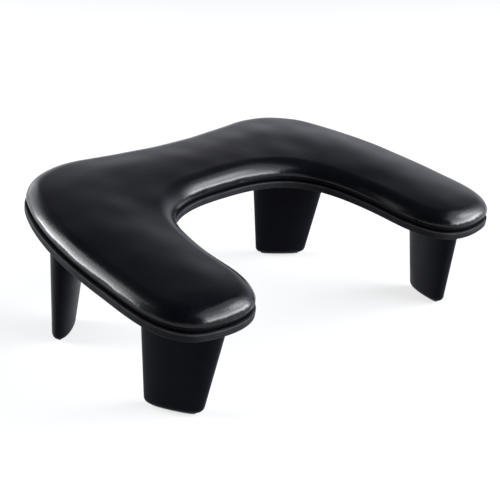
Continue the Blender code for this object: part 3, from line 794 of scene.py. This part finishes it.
def leather_relief(plan, grid, first_dome_row):
    """Distance that each point of the cover moves out: broad shallow waves over the dome, and folds above
    the crease that fade upwards. The folds are a sine of the way round, which makes small gathers where the
    outline bulges at an arm's end, and a waver of the whole lower edge.
    """
    cushion = settings().cushion
    rise = grid[..., 2] - cover_levels(cushion)[2]
    waves = cushion.sag * wave_sum(grid, SAG_WAVE, SAG_SEED, SAG_WAVES)
    waves = waves * eased(np.clip(rise / cushion.roll_height, 0, 1))
    points = plan[0]
    flat = points[:, [0, 1, 1]]
    along = np.cumsum(np.linalg.norm(np.roll(points, -1, axis=0) - points, axis=1))
    bulging = softened(np.clip(bend_of_outline(plan) / FULL_BEND, 0, 1), BEND_WINDOW)
    stray = GATHER_STRAY * wave_sum(flat, GATHER_WAVE, GATHER_SEED)
    gathers = cushion.pleat_height * bulging * np.sin(2 * math.pi * along / cushion.pleat_spacing + stray)
    waver = cushion.waver * wave_sum(flat, WAVER_WAVE, WAVER_SEED)
    low = np.exp(-(np.clip(rise, 0, None) / FOLD_FADE) ** 2)
    fold = (gathers + waver)[None, :] * low * np.clip(rise / FOLD_START, 0, 1)
    dome = np.arange(len(grid))[:, None] >= first_dome_row
    return np.where(dome, waves + fold, 0.0)


# How far above the crease a point still counts as level with it.
LEVEL_TOLERANCE = 1e-5


def shade_lip(mesh):
    """Gives the faces below the crease, round the board, a rougher leather with a much lower specular level:
    painted shade that keeps the lip dark.
    """
    looks = settings().looks
    height = to_deck(mesh_points(mesh))[:, 2]
    corners = np.empty(len(mesh.loops), np.int32)
    mesh.loops.foreach_get("vertex_index", corners)
    starts = np.empty(len(mesh.polygons), np.int32)
    mesh.polygons.foreach_get("loop_start", starts)
    highest = np.maximum.reduceat(height[corners], starts)
    below = highest < cover_levels(settings().cushion)[2] + LEVEL_TOLERANCE
    # Painted shade: the lip's leather reflects far less than the rest.
    mesh.materials.append(leather_finish("leather_lip_shade", looks.lip_gloss, looks.lip_shade_specular))
    mesh.polygons.foreach_set("material_index", below.astype(np.int32))


# Points nearer than this are made one where both sides meet in the spine.
SPINE_WELD = 2e-6
# Rows up the roll and over the crown in the simulated copy, and in the leather's inner face.
COARSE_ROWS = (8, 5)
INNER_ROWS = (9, 4)


def soft_body():
    """A closed coarse copy of the cushion above its crease, in the deck's frame, remeshed evenly."""
    cushion, detail = settings().cushion, settings().detail
    plan = closed_plan(detail.swell_stations)
    rim = np.full((2, 1), cushion.lip_inset + cushion.crease_depth)
    base = lifted(plan, rim, cover_levels(cushion)[2])
    base[0, :, :2] = plan[2]
    grid = np.vstack([base, dome_grid(plan, 0.0, *COARSE_ROWS)])
    body = placed("soft_body", surface("soft_body", grid, SPINE_WELD))
    even = body.modifiers.new("even", "REMESH")
    even.mode = "VOXEL"
    even.voxel_size = detail.swell_voxel
    body.data = applied(body)
    return body


# The pressure in the simulated copy.
PRESSURE = 4.0
# The width of the bell that carries the travel over, in voxels, and how many points take part at a time.
BELL_VOXELS = 1.6
BATCH = 1500


def foam_swell(grid, first_dome_row):
    """Distance that the foam presses each point of the leather out, from a cloth simulation.

    The coarse copy is held along its base and blown up with gravity off. Each point of the grid takes the
    mean travel of the copy near it, weighted by a bell of the distance, scaled so that the furthest moves by
    the swell, and faded in above the fullest line.
    """
    cushion, detail = settings().cushion, settings().detail
    scene, body = bpy.context.scene, soft_body()
    start = mesh_points(body.data)
    bulge = cover_levels(cushion)[3]
    held = body.vertex_groups.new(name="held")
    held.add(np.flatnonzero(start[:, 2] < bulge + cushion.roll_height / 4).tolist(), 1.0, "REPLACE")
    press = body.modifiers.new("press", "CLOTH").settings
    press.vertex_group_mass = held.name
    press.use_pressure = True
    press.uniform_pressure_force = PRESSURE
    press.effector_weights.gravity = 0.0
    for frame_number in range(1, detail.swell_frames + 1):
        scene.frame_set(frame_number)
    blown = body.evaluated_get(bpy.context.evaluated_depsgraph_get())
    travel = np.linalg.norm(mesh_points(blown.data) - start, axis=1)
    scene.frame_set(1)
    bpy.data.objects.remove(body, do_unlink=True)
    fine = grid[first_dome_row:].reshape(-1, 3)
    swell = np.empty(len(fine))
    for part in np.array_split(np.arange(len(fine)), len(fine) // BATCH + 1):
        apart = (fine[part] ** 2).sum(1)[:, None] + (start**2).sum(1) - 2 * fine[part] @ start.T
        near = np.exp(-np.clip(apart, 0, None) / (BELL_VOXELS * detail.swell_voxel) ** 2)
        swell[part] = near @ travel / near.sum(1)
    swell = swell.reshape(-1, grid.shape[1]) * cushion.swell / travel.max()
    fade = np.clip((grid[first_dome_row:, :, 2] - bulge) / (cushion.roll_height / 2), 0, 1)
    return np.vstack([np.zeros((first_dome_row, grid.shape[1])), swell * eased(fade)])


# The leather shows an edge only where its faces meet at more than this angle.
LEATHER_SHARP = math.radians(60)
# The bevel of the leather's inner corner, and how far under the board's top its inner wall ends.
INNER_BEVEL = 0.0003
INNER_WALL_DROP = 0.0004


def cover_grid():
    """The leather's closed section all the way round: from the spine down the outer face, round the bulge,
    the crease and the lip, in along the flange, and back up the inner face to the spine.
    """
    cushion, detail = settings().cushion, settings().detail
    plan = closed_plan(detail.plan_stations)
    edge = edge_section(cushion)
    dome = dome_grid(plan, 0.0, detail.roll_rows, detail.crown_rows)
    outer = np.vstack([lifted(plan, edge[:, :1], edge[:, 1:]), dome])
    relief = leather_relief(plan, outer, len(edge))
    relief = relief + foam_swell(outer, len(edge))
    outer = outer + grid_normals(outer) * relief[..., None]
    # The spine is where both sides meet, so its points go straight up.
    outer[-1] = dome[-1] + relief[-1][:, None] * np.array([0.0, 0.0, 1.0])
    flange, board_top, crease, _ = cover_levels(cushion)
    skin = cushion.leather
    wall, floor = cushion.lip_inset + skin, flange + skin
    inner_edge = np.array([
        (cushion.lip_inset + cushion.flange, floor),
        (wall + INNER_BEVEL, floor),
        (wall, floor + INNER_BEVEL),
        (wall, board_top - INNER_WALL_DROP),
        (wall + cushion.crease_depth, crease),
    ])
    inner_rim = lifted(plan, inner_edge[:, :1], inner_edge[:, 1:])
    return to_world(np.vstack([outer[::-1], inner_rim, dome_grid(plan, skin, *INNER_ROWS)]))


class HANDREST_OT_leather_cover(bpy.types.Operator):
    """Build the leather cover of the cushion"""

    bl_idname = "handrest.leather_cover"
    bl_label = "Leather Cover"

    def execute(self, context):
        # The spine is a fold of the grid: both of its sides have to meet in the same points.
        mesh = surface("cushion_leather", cover_grid(), SPINE_WELD)
        looks = settings().looks
        leather = leather_finish("leather", looks.leather_gloss, looks.leather_specular)
        cover = new_piece("cushion_leather", mesh, leather, "leather_cover", LEATHER_SHARP)
        shade_lip(mesh)
        return {"FINISHED"}


# Base plate


def turned(profile, sides):
    """A closed grid turned about Z from a profile of radius and height."""
    angle = np.linspace(0, 2 * math.pi, sides, endpoint=False)
    profile = np.asarray(profile, float)
    ring = np.stack([np.cos(angle), np.sin(angle)], axis=-1)
    flat = profile[:, 0, None, None] * ring
    return np.concatenate([flat, np.broadcast_to(profile[:, 1, None, None], (*flat.shape[:2], 1))], axis=2)


def leg_spots():
    """For each leg: its side, centre at the plate in the deck's frame, turn and foot's shift."""
    plan, legs = settings().plan, settings().legs
    middle = (plan.width + plan.bay_width) / 4
    front = (middle + legs.front_off_middle, legs.front_from_end - plan.arm_reach)
    back = (plan.width / 2 - legs.back_from_side, plan.bridge_depth - legs.back_from_back)
    front_rest = (front, legs.front_turn, (legs.front_foot_out, legs.front_foot_back))
    back_rest = (back, legs.back_turn, (legs.back_foot_out, legs.back_foot_back))
    return {
        name: (-1 if name.endswith("left") else 1, *(front_rest if name.startswith("front") else back_rest))
        for name in LEG_NAMES
    }


def leg_screw_spots():
    """For each leg screw: its name and its place in the deck's frame."""
    half = settings().screws.leg_spacing / 2
    spots = {}
    for leg, (side, (x, y), turn, _) in leg_spots().items():
        for word, along in zip(SCREW_ENDS, (half, -half)):
            place = (side * (x + along * math.cos(turn)), y + along * math.sin(turn))
            spots[f"leg_screw_{leg}_{word}"] = place
    return spots


def cushion_screw_spots():
    """The cushion screws' places in the deck's frame, from the left arm round to the right."""
    plan, screws = settings().plan, settings().screws
    middle = (plan.width + plan.bay_width) / 4
    right = [
        (screws.bridge_x, plan.bridge_depth / 2),
        (middle, -screws.arm_back_y),
        (middle, -screws.arm_front_y),
    ]
    places = [(-x, y) for x, y in right[::-1]] + right
    return {f"cushion_screw_{index}": place for index, place in enumerate(places, start=1)}


def cut_holes(obj):
    """Cuts the screw holes out of the plate: straight ones for the cushion screws, and countersunk ones."""
    cushion, screws = settings().cushion, settings().screws
    top, gap = cushion.plate_thickness, cushion.gap
    hole, sink = screws.radius + gap, screws.leg_head_radius + 2 * gap
    above, below = 2 * top, -top
    neck = top - screws.leg_head_depth - gap
    straight = [(0, above), (hole, above), (hole, below), (0, below)]
    flared = [(0, above), (sink, above), (sink, top), (hole, neck), (hole, below), (0, below)]
    cutters = []
    for profile, spots in ((straight, cushion_screw_spots()), (flared, leg_screw_spots())):
        for name, (x, y) in spots.items():
            grid = turned(profile, settings().detail.screw_sides) + np.array([x, y, 0.0])
            cutter = placed(name + "_hole", surface(name + "_hole", to_world(grid)))
            cutters.append(cutter)
            cut = obj.modifiers.new(name, "BOOLEAN")
            cut.object = cutter
            cut.solver = "EXACT"
    made = applied(obj)
    for cutter in cutters:
        bpy.data.objects.remove(cutter, do_unlink=True)
    return made


# Rows of points over each face of the plate, the power that crowds them towards its edge, and the points in
# each arc of its edge.
PLATE_ROWS = 7
PLATE_CROWDING = 1.5
ARRIS_POINTS = 5
# How far in from the outline each face's outermost row lies, in arrises.
FACE_START = 4


def plate_grid(plan):
    """The plate's closed section: the underside from the spine out, two arcs round its edge, and the top
    back in. The rows crowd towards the edge as a power of their share of the way in.
    """
    cushion = settings().cushion
    thickness, arris = cushion.plate_thickness, cushion.arris
    low = arc((arris, arris), arris, 270, 180, ARRIS_POINTS)
    high = arc((arris, thickness - arris), arris, 180, 90, ARRIS_POINTS)
    edge = np.concatenate([low, high])
    reach = np.linalg.norm(plan[2] - plan[0], axis=1)
    inward = (np.linspace(1, 0, PLATE_ROWS) ** PLATE_CROWDING)[:, None]
    face = FACE_START * arris + (reach - FACE_START * arris) * inward
    rim = np.broadcast_to(edge[:, :1], (len(edge), len(reach)))
    heights = np.concatenate([np.zeros(PLATE_ROWS), edge[:, 1], np.full(PLATE_ROWS, thickness)])
    return to_world(lifted(plan, np.vstack([face, rim, face[::-1]]), heights[:, None]))


# How far in from the outline the painted highlight on the edges reaches, and how far from a face it is
# palest, in arrises.
HIGHLIGHT_REACH = 1.6
PALEST = 0.3
# Points that are compared with the outline at a time, to spare memory.
POINTS_AT_A_TIME = 2000


def mark_edge_highlight(mesh, plan):
    """Stores on each point of the plate how near it is to its rounded edges, 1 on them and 0 elsewhere: the
    weight of the painted highlight.
    """
    cushion = settings().cushion
    points = to_deck(mesh_points(mesh))
    nearest = np.full(len(points), np.inf)
    for start in range(0, len(points), POINTS_AT_A_TIME):
        some = slice(start, start + POINTS_AT_A_TIME)
        nearest[some] = np.linalg.norm(points[some, None, :2] - plan[0][None], axis=2).min(axis=1)
    from_face = np.minimum(points[:, 2], cushion.plate_thickness - points[:, 2])
    near_face = np.clip(1 - np.abs(from_face - PALEST * cushion.arris) / cushion.arris, 0, 1)
    value = np.where(nearest < HIGHLIGHT_REACH * cushion.arris, near_face, 0.0)
    mesh.attributes.new("edge", "FLOAT", "POINT").data.foreach_set("value", value.astype(np.float32))


class HANDREST_OT_base_plate(bpy.types.Operator):
    """Build the base plate with its rounded edges and screw holes"""

    bl_idname = "handrest.base_plate"
    bl_label = "Base Plate"

    def execute(self, context):
        plan = closed_plan(settings().detail.plan_stations)
        blank = placed("plate_blank", surface("plate_blank", plate_grid(plan)))
        mesh = cut_holes(blank)
        bpy.data.objects.remove(blank, do_unlink=True)
        mark_edge_highlight(mesh, plan)
        new_piece("plate", mesh, plate_finish(), "base_plate")
        return {"FINISHED"}


# Legs and pads


def oval(half_length, half_width, centre, turn, height):
    """A level ring in the form of a slightly squared oval: |x|^n + |y|^n is constant."""
    legs = settings().legs
    angle = np.linspace(0, 2 * math.pi, settings().detail.leg_sides, endpoint=False)
    reach = [np.sign(wave) * np.abs(wave) ** (2 / legs.squareness) for wave in (np.cos(angle), np.sin(angle))]
    along, across = half_length * reach[0], half_width * reach[1]
    x = centre[0] + along * math.cos(turn) - across * math.sin(turn)
    y = centre[1] + along * math.sin(turn) + across * math.cos(turn)
    return np.column_stack([x, y, np.full(len(angle), height)])


def capped(rings):
    """A stack of rings closed at both ends by a row of points in the end ring's middle."""
    first, last = (np.broadcast_to(ring.mean(axis=0), ring.shape) for ring in (rings[0], rings[-1]))
    return np.stack([first, *rings, last])


def leg_foot(spot):
    """The middle of a leg's foot on the floor, on the right-hand side."""
    _, (x, y), _, shift = spot
    head = to_world(np.array([x, y, 0.0]))
    share = head[2] / settings().legs.reference
    return head[0] + shift[0] * share, head[1] + shift[1] * share


def leg_ring(spot, foot, height, trim=0.0):
    """The leg's oval at one height: it grows evenly upwards, and its centre moves from the foot."""
    legs = settings().legs
    side, _, turn, shift = spot
    share = height / legs.reference
    half_length = legs.foot_half_length + (legs.top_half_length - legs.foot_half_length) * share
    half_width = legs.foot_half_width + (legs.top_half_width - legs.foot_half_width) * share
    centre = (side * (foot[0] - shift[0] * share), foot[1] - shift[1] * share)
    return oval(half_length - trim, half_width - trim, centre, side * turn, height)


# Rows of points up a leg's rounded lower edge, and up a pad's.
ROUNDED_ROWS = 9
PAD_ROWS = 5


def leg_grid(spot):
    """The rounded lower edge, then straight sides that end on the slope under the plate.

    Each side line runs from the foot's ring to the ring at the reference height, and is followed to where
    it meets the deck's underside, less the gap.
    """
    plan, legs, gap = settings().plan, settings().legs, settings().cushion.gap
    floor = legs.pad_thickness + gap
    foot = leg_foot(spot)
    rings = []
    for angle in np.linspace(0, math.pi / 2, ROUNDED_ROWS):
        height = floor + legs.foot_round * (1 - math.cos(angle))
        rings.append(leg_ring(spot, foot, height, legs.foot_round * (1 - math.sin(angle))))
    start = rings[-1]
    line = leg_ring(spot, foot, legs.reference) - start
    square = np.array([0.0, -math.sin(plan.slope), math.cos(plan.slope)])
    deck = np.array([0.0, deck_shift(), plan.bay_height])
    whole = (((deck - start) @ square - gap) / (line @ square))[:, None]
    shares = np.linspace(0, 1, settings().detail.leg_rows)[1:]
    return capped(rings + [start + line * whole * share for share in shares])


def pad_grid(spot):
    """A thin oval pad with a rounded lower edge, from the middle of its underside to that of its top."""
    legs = settings().legs
    side, _, turn, _ = spot
    foot = leg_foot(spot)
    centre = (side * foot[0], foot[1])
    rim = arc((legs.pad_round, legs.pad_round), legs.pad_round, 270, 180, PAD_ROWS)
    long, wide = legs.foot_half_length - legs.pad_inset, legs.foot_half_width - legs.pad_inset
    section = [*rim, (0.0, legs.pad_thickness)]
    return capped([oval(long - trim, wide - trim, centre, side * turn, z) for trim, z in section])


class HANDREST_OT_legs(bpy.types.Operator):
    """Build the four tapered legs"""

    bl_idname = "handrest.legs"
    bl_label = "Legs"

    def execute(self, context):
        paint = leg_finish()
        for name, spot in leg_spots().items():
            mesh = surface(f"leg_{name}", leg_grid(spot))
            new_piece(f"leg_{name}_shaped", mesh, paint, f"leg_{name}")
        return {"FINISHED"}


class HANDREST_OT_foot_pads(bpy.types.Operator):
    """Build the non-slip pads under the legs"""

    bl_idname = "handrest.foot_pads"
    bl_label = "Foot Pads"

    def execute(self, context):
        rubber = rubber_finish()
        for name, spot in leg_spots().items():
            mesh = surface(f"pad_{name}", pad_grid(spot))
            new_piece(f"pad_{name}", mesh, rubber, f"foot_pad_{name}")
        return {"FINISHED"}


# Screws


# How wide the sloping walls of the cross recess are.
RECESS_WALL = 0.0002


def cross_recess(x, y):
    """How deep the cross recess is at a point of the head: two bars with sloping walls."""
    screws = settings().screws

    def bar(a, b):
        along = np.clip((screws.recess_span / 2 - np.abs(a)) / (4 * RECESS_WALL), 0, 1)
        across = np.clip((screws.recess_width / 2 - np.abs(b)) / RECESS_WALL, 0, 1)
        return along * across

    return screws.recess_depth * np.maximum(bar(x, y), bar(y, x))


# Rings of points over the face of a head, and how much steeper the thread falls than to half a pitch away.
HEAD_RINGS = 25
THREAD_STEEPNESS = 1.6


def screw_grid(head, shank, head_top):
    """A screw about Z: the head's profile with its recess, then a shank with a helical thread.

    The thread's radius follows the distance to the nearest turn of a helix: it is full on the turn and
    falls evenly to the core between the turns.
    """
    screws, detail = settings().screws, settings().detail
    out = np.linspace(0, head[0][0], HEAD_RINGS, endpoint=False)
    face = np.column_stack([out, np.full(HEAD_RINGS, head_top)])
    grid = turned(np.vstack([face, head]), detail.screw_sides)
    into = -1.0 if head_top > shank[1] else 1.0
    grid[:HEAD_RINGS, :, 2] += into * cross_recess(grid[:HEAD_RINGS, :, 0], grid[:HEAD_RINGS, :, 1])
    start, end = shank
    steps = int(abs(end - start) / screws.pitch * detail.thread_rows)
    z = np.linspace(start, end, steps)[:, None]
    angle = np.linspace(0, 2 * math.pi, detail.screw_sides, endpoint=False)[None, :]
    turn = (z / screws.pitch - angle / (2 * math.pi)) % 1.0
    ridge = np.clip(1 - np.abs(2 * turn - 1) * THREAD_STEEPNESS, 0, 1)
    taper = np.clip(np.abs(end - z) / screws.point, 0, 1)
    whole = screws.core + (screws.radius - screws.core) * ridge
    radius = screws.tip_radius + (whole - screws.tip_radius) * taper
    level = np.broadcast_to(z, radius.shape)
    thread = np.stack([radius * np.cos(angle), radius * np.sin(angle), level], axis=-1)
    tip = np.broadcast_to(np.array([0.0, 0.0, end]), (1, detail.screw_sides, 3))
    return np.concatenate([grid, thread, tip])


# The flat of a pan head, and the straight part of its side, as shares of its radius and its height.
PAN_FLAT = 0.72
PAN_SIDE = 0.45
PAN_RINGS = 7


class HANDREST_OT_screws(bpy.types.Operator):
    """Build the leg screws and the cushion screws"""

    bl_idname = "handrest.screws"
    bl_label = "Screws"

    def execute(self, context):
        screws, cushion = settings().screws, settings().cushion
        steel = steel_finish()
        leg_head = [(screws.leg_head_radius, 0.0), (screws.radius, -screws.leg_head_depth)]
        leg_screw = screw_grid(leg_head, (-screws.leg_head_depth, -screws.leg_length), 0.0)
        angle = np.linspace(0, math.pi / 2, PAN_RINGS)
        dome = np.column_stack([
            screws.pan_radius * (PAN_FLAT + (1 - PAN_FLAT) * np.sin(angle)),
            -screws.pan_height * (PAN_SIDE + (1 - PAN_SIDE) * np.cos(angle)),
        ])
        pan_head = [*dome, (screws.pan_radius, 0.0), (screws.radius, 0.0)]
        pan_screw = screw_grid(pan_head, (0.0, screws.pan_length), -screws.pan_height)
        jobs = (
            (leg_screw_spots(), leg_screw, cushion.plate_thickness - cushion.gap),
            (cushion_screw_spots(), pan_screw, -cushion.gap),
        )
        for spots, grid, height in jobs:
            for name, (x, y) in spots.items():
                mesh = surface(name, to_world(grid + np.array([x, y, height])))
                new_piece(f"{name}_cut", mesh, steel, name)
        return {"FINISHED"}


class HANDREST_OT_inner_parts(bpy.types.Operator):
    """Finish the foam and the board inside the cushion"""

    bl_idname = "handrest.inner_parts"
    bl_label = "Foam and Board"

    def execute(self, context):
        for node, finish in (("foam_pad", foam_finish), ("cushion_board", board_finish)):
            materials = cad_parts[node].data.materials
            materials.clear()
            materials.append(finish())
        return {"FINISHED"}


# Stage


def aim(obj, target):
    """Turns a lamp or camera so that it looks at a point, with its upper side up."""
    heading = Vector(target) - Vector(obj.location)
    obj.rotation_euler = heading.to_track_quat("-Z", "Y").to_euler()


LAMP_DISTANCE = 2.5
LAMP_TINT = (0.94, 0.97, 1.0)
AIM = Vector((0.0, 0.0, 0.1))
# Each lamp's name, azimuths, elevations and radiance: the softboxes get weaker upwards.
SOFTBOXES = (
    ("lamp_back_left_low", (-160, -124), (1, 14), 19.0),
    ("lamp_back_left_middle", (-158, -126), (14, 30), 10.5),
    ("lamp_back_left_high", (-156, -128), (30, 46), 4.5),
    ("lamp_back", (165, 200), (6, 34), 1.2),
    ("lamp_front_right_low", (6, 66), (1, 14), 18.0),
    ("lamp_front_right_middle", (8, 68), (14, 30), 8.0),
    ("lamp_front_right_high", (10, 70), (30, 45), 3.2),
    ("lamp_front_right_top", (12, 70), (45, 60), 1.6),
    ("lamp_front_right_corner", (44, 62), (25, 40), 7.5),
)
FLOOR_HALF = 6.0
# The strength at which the floor shows white to the camera.
FLOOR_GLOW = 0.68
WALL_COLOUR = (0.94, 0.96, 1.05, 1.0)
# From the viewpoint past the rest, and up.
BEYOND = (0.695, 0.719, 0.0)
UP = (0.0, 0.0, 1.0)
# The camera's sensor in millimetres, and how far it sees in metres.
SENSOR_WIDTH = 36.0
VIEW_END = 30.0


def from_rest(azimuth, elevation):
    """The direction from the rest at an azimuth, counted from the open side towards +X, and an elevation."""
    level = math.cos(elevation)
    return Vector((level * math.sin(azimuth), -level * math.cos(azimuth), math.sin(elevation)))


def new_softbox(name, azimuths, elevations, radiance):
    """A rectangular lamp that fills a range of azimuth and of elevation, in degrees, as seen from the rest.
    Its width and height are its distance times twice the tangent of half of each range, and its energy is
    four times its radiance times its area.
    """
    azimuth, elevation = (math.radians(sum(ends) / 2) for ends in (azimuths, elevations))
    spans = (math.radians(ends[1] - ends[0]) for ends in (azimuths, elevations))
    width, height = (2 * LAMP_DISTANCE * math.tan(span / 2) for span in spans)
    lamp = bpy.data.lights.new(name, "AREA")
    lamp.shape = "RECTANGLE"
    lamp.size, lamp.size_y = width, height
    lamp.energy = 4 * radiance * width * height
    lamp.color = LAMP_TINT
    obj = placed(name, lamp)
    obj.location = AIM + LAMP_DISTANCE * from_rest(azimuth, elevation)
    aim(obj, AIM)
    obj.visible_camera = False


def floor_material():
    """A pale floor that shows white and keeps the object's shadow."""
    material = bpy.data.materials.new("floor")
    nodes = Nodes(material)
    nodes.tree.nodes.clear()
    matt = nodes.add("ShaderNodeBsdfDiffuse")
    matt.inputs["Color"].default_value = (*settings().looks.floor, 1.0)
    glow = nodes.add("ShaderNodeEmission")
    path = nodes.add("ShaderNodeLightPath").outputs
    seen = path["Is Camera Ray"]
    for other in ("Is Glossy Ray", "Is Transmission Ray"):
        seen = nodes.combined("ShaderNodeMath", "MAXIMUM", seen, path[other])[0]
    level = nodes.combined("ShaderNodeMath", "MULTIPLY", seen, FLOOR_GLOW)[0]
    nodes.link(level, glow.inputs["Strength"])
    both = nodes.add("ShaderNodeAddShader")
    nodes.link(matt.outputs[0], both.inputs[0])
    nodes.link(glow.outputs[0], both.inputs[1])
    nodes.link(both.outputs[0], nodes.add("ShaderNodeOutputMaterial").inputs["Surface"])
    return material


def studio_world():
    """Dim grey walls beyond the rest. They fade out upwards and towards the viewpoint, so that the top of
    the rest stays black.
    """
    world = bpy.data.worlds.new("studio")
    nodes = Nodes(world)
    background = nodes.tree.nodes["Background"].inputs
    background["Color"].default_value = WALL_COLOUR
    place = nodes.add("ShaderNodeTexCoord").outputs["Generated"]
    towards = [
        nodes.combined("ShaderNodeVectorMath", "DOT_PRODUCT", place, direction)["Value"]
        for direction in (BEYOND, UP)
    ]
    beyond = nodes.mapped(towards[0], -0.1, 0.75, 0.04, 1.0, smooth=True)
    low = nodes.mapped(towards[1], 0.2, 0.7, 1.0, 0.05, smooth=True)
    level = nodes.combined("ShaderNodeMath", "MULTIPLY", beyond, low)[0]
    nodes.link(level, background["Strength"])
    bpy.context.scene.world = world


class HANDREST_OT_stage(bpy.types.Operator):
    """Set up the floor, the lamps, the camera and the colours' view"""

    bl_idname = "handrest.stage"
    bl_label = "Studio"

    def execute(self, context):
        scene = context.scene
        corners = [(x * FLOOR_HALF, y * FLOOR_HALF, 0) for x, y in ((-1, -1), (1, -1), (1, 1), (-1, 1))]
        mesh = bpy.data.meshes.new("floor")
        mesh.from_pydata(corners, [], [(0, 1, 2, 3)])
        mesh.materials.append(floor_material())
        floor = placed("floor", mesh)
        studio_world()
        for softbox in SOFTBOXES:
            new_softbox(*softbox)
        view = settings().camera
        optics = bpy.data.cameras.new("camera")
        optics.lens = view.lens
        optics.sensor_width = SENSOR_WIDTH
        optics.clip_end = VIEW_END
        camera = placed("camera", optics)
        camera.location = Vector(view.target) + view.distance * from_rest(view.azimuth, view.elevation)
        aim(camera, view.target)
        scene.camera = camera
        scene.view_settings.view_transform = "Standard"
        return {"FINISHED"}


OPERATORS = (
    HANDREST_OT_leather_cover,
    HANDREST_OT_base_plate,
    HANDREST_OT_legs,
    HANDREST_OT_foot_pads,
    HANDREST_OT_screws,
    HANDREST_OT_inner_parts,
    HANDREST_OT_stage,
)


class HANDREST_PT_panel(bpy.types.Panel):
    """Sidebar panel that lists the operators and the settings"""

    bl_idname = "HANDREST_PT_panel"
    bl_label = "Manicure Hand Rest"
    bl_space_type = "VIEW_3D"
    bl_region_type = "UI"
    bl_category = "Hand Rest"

    def draw(self, context):
        column = self.layout.column()
        for operator in OPERATORS:
            column.operator(operator.bl_idname)
        for name in GROUPS:
            group = getattr(context.scene.hand_rest, name)
            box = column.box()
            box.label(text=name.title())
            for key in type(group).__annotations__:
                box.prop(group, key)


CLASSES = (*GROUPS.values(), HandRestSettings, *OPERATORS, HANDREST_PT_panel)


def register():
    """Registers the classes and the settings."""
    for cls in CLASSES:
        bpy.utils.register_class(cls)
    bpy.types.Scene.hand_rest = PointerProperty(type=HandRestSettings)


def unregister():
    """Removes the settings and the classes."""
    del bpy.types.Scene.hand_rest
    for cls in reversed(CLASSES):
        bpy.utils.unregister_class(cls)


def main():
    """Builds the finished hand rest and its studio."""
    register()
    bpy.ops.handrest.stage()
    bpy.ops.handrest.leather_cover()
    bpy.ops.handrest.base_plate()
    bpy.ops.handrest.legs()
    bpy.ops.handrest.foot_pads()
    bpy.ops.handrest.screws()
    bpy.ops.handrest.inner_parts()


if __name__ == "__main__":
    main()
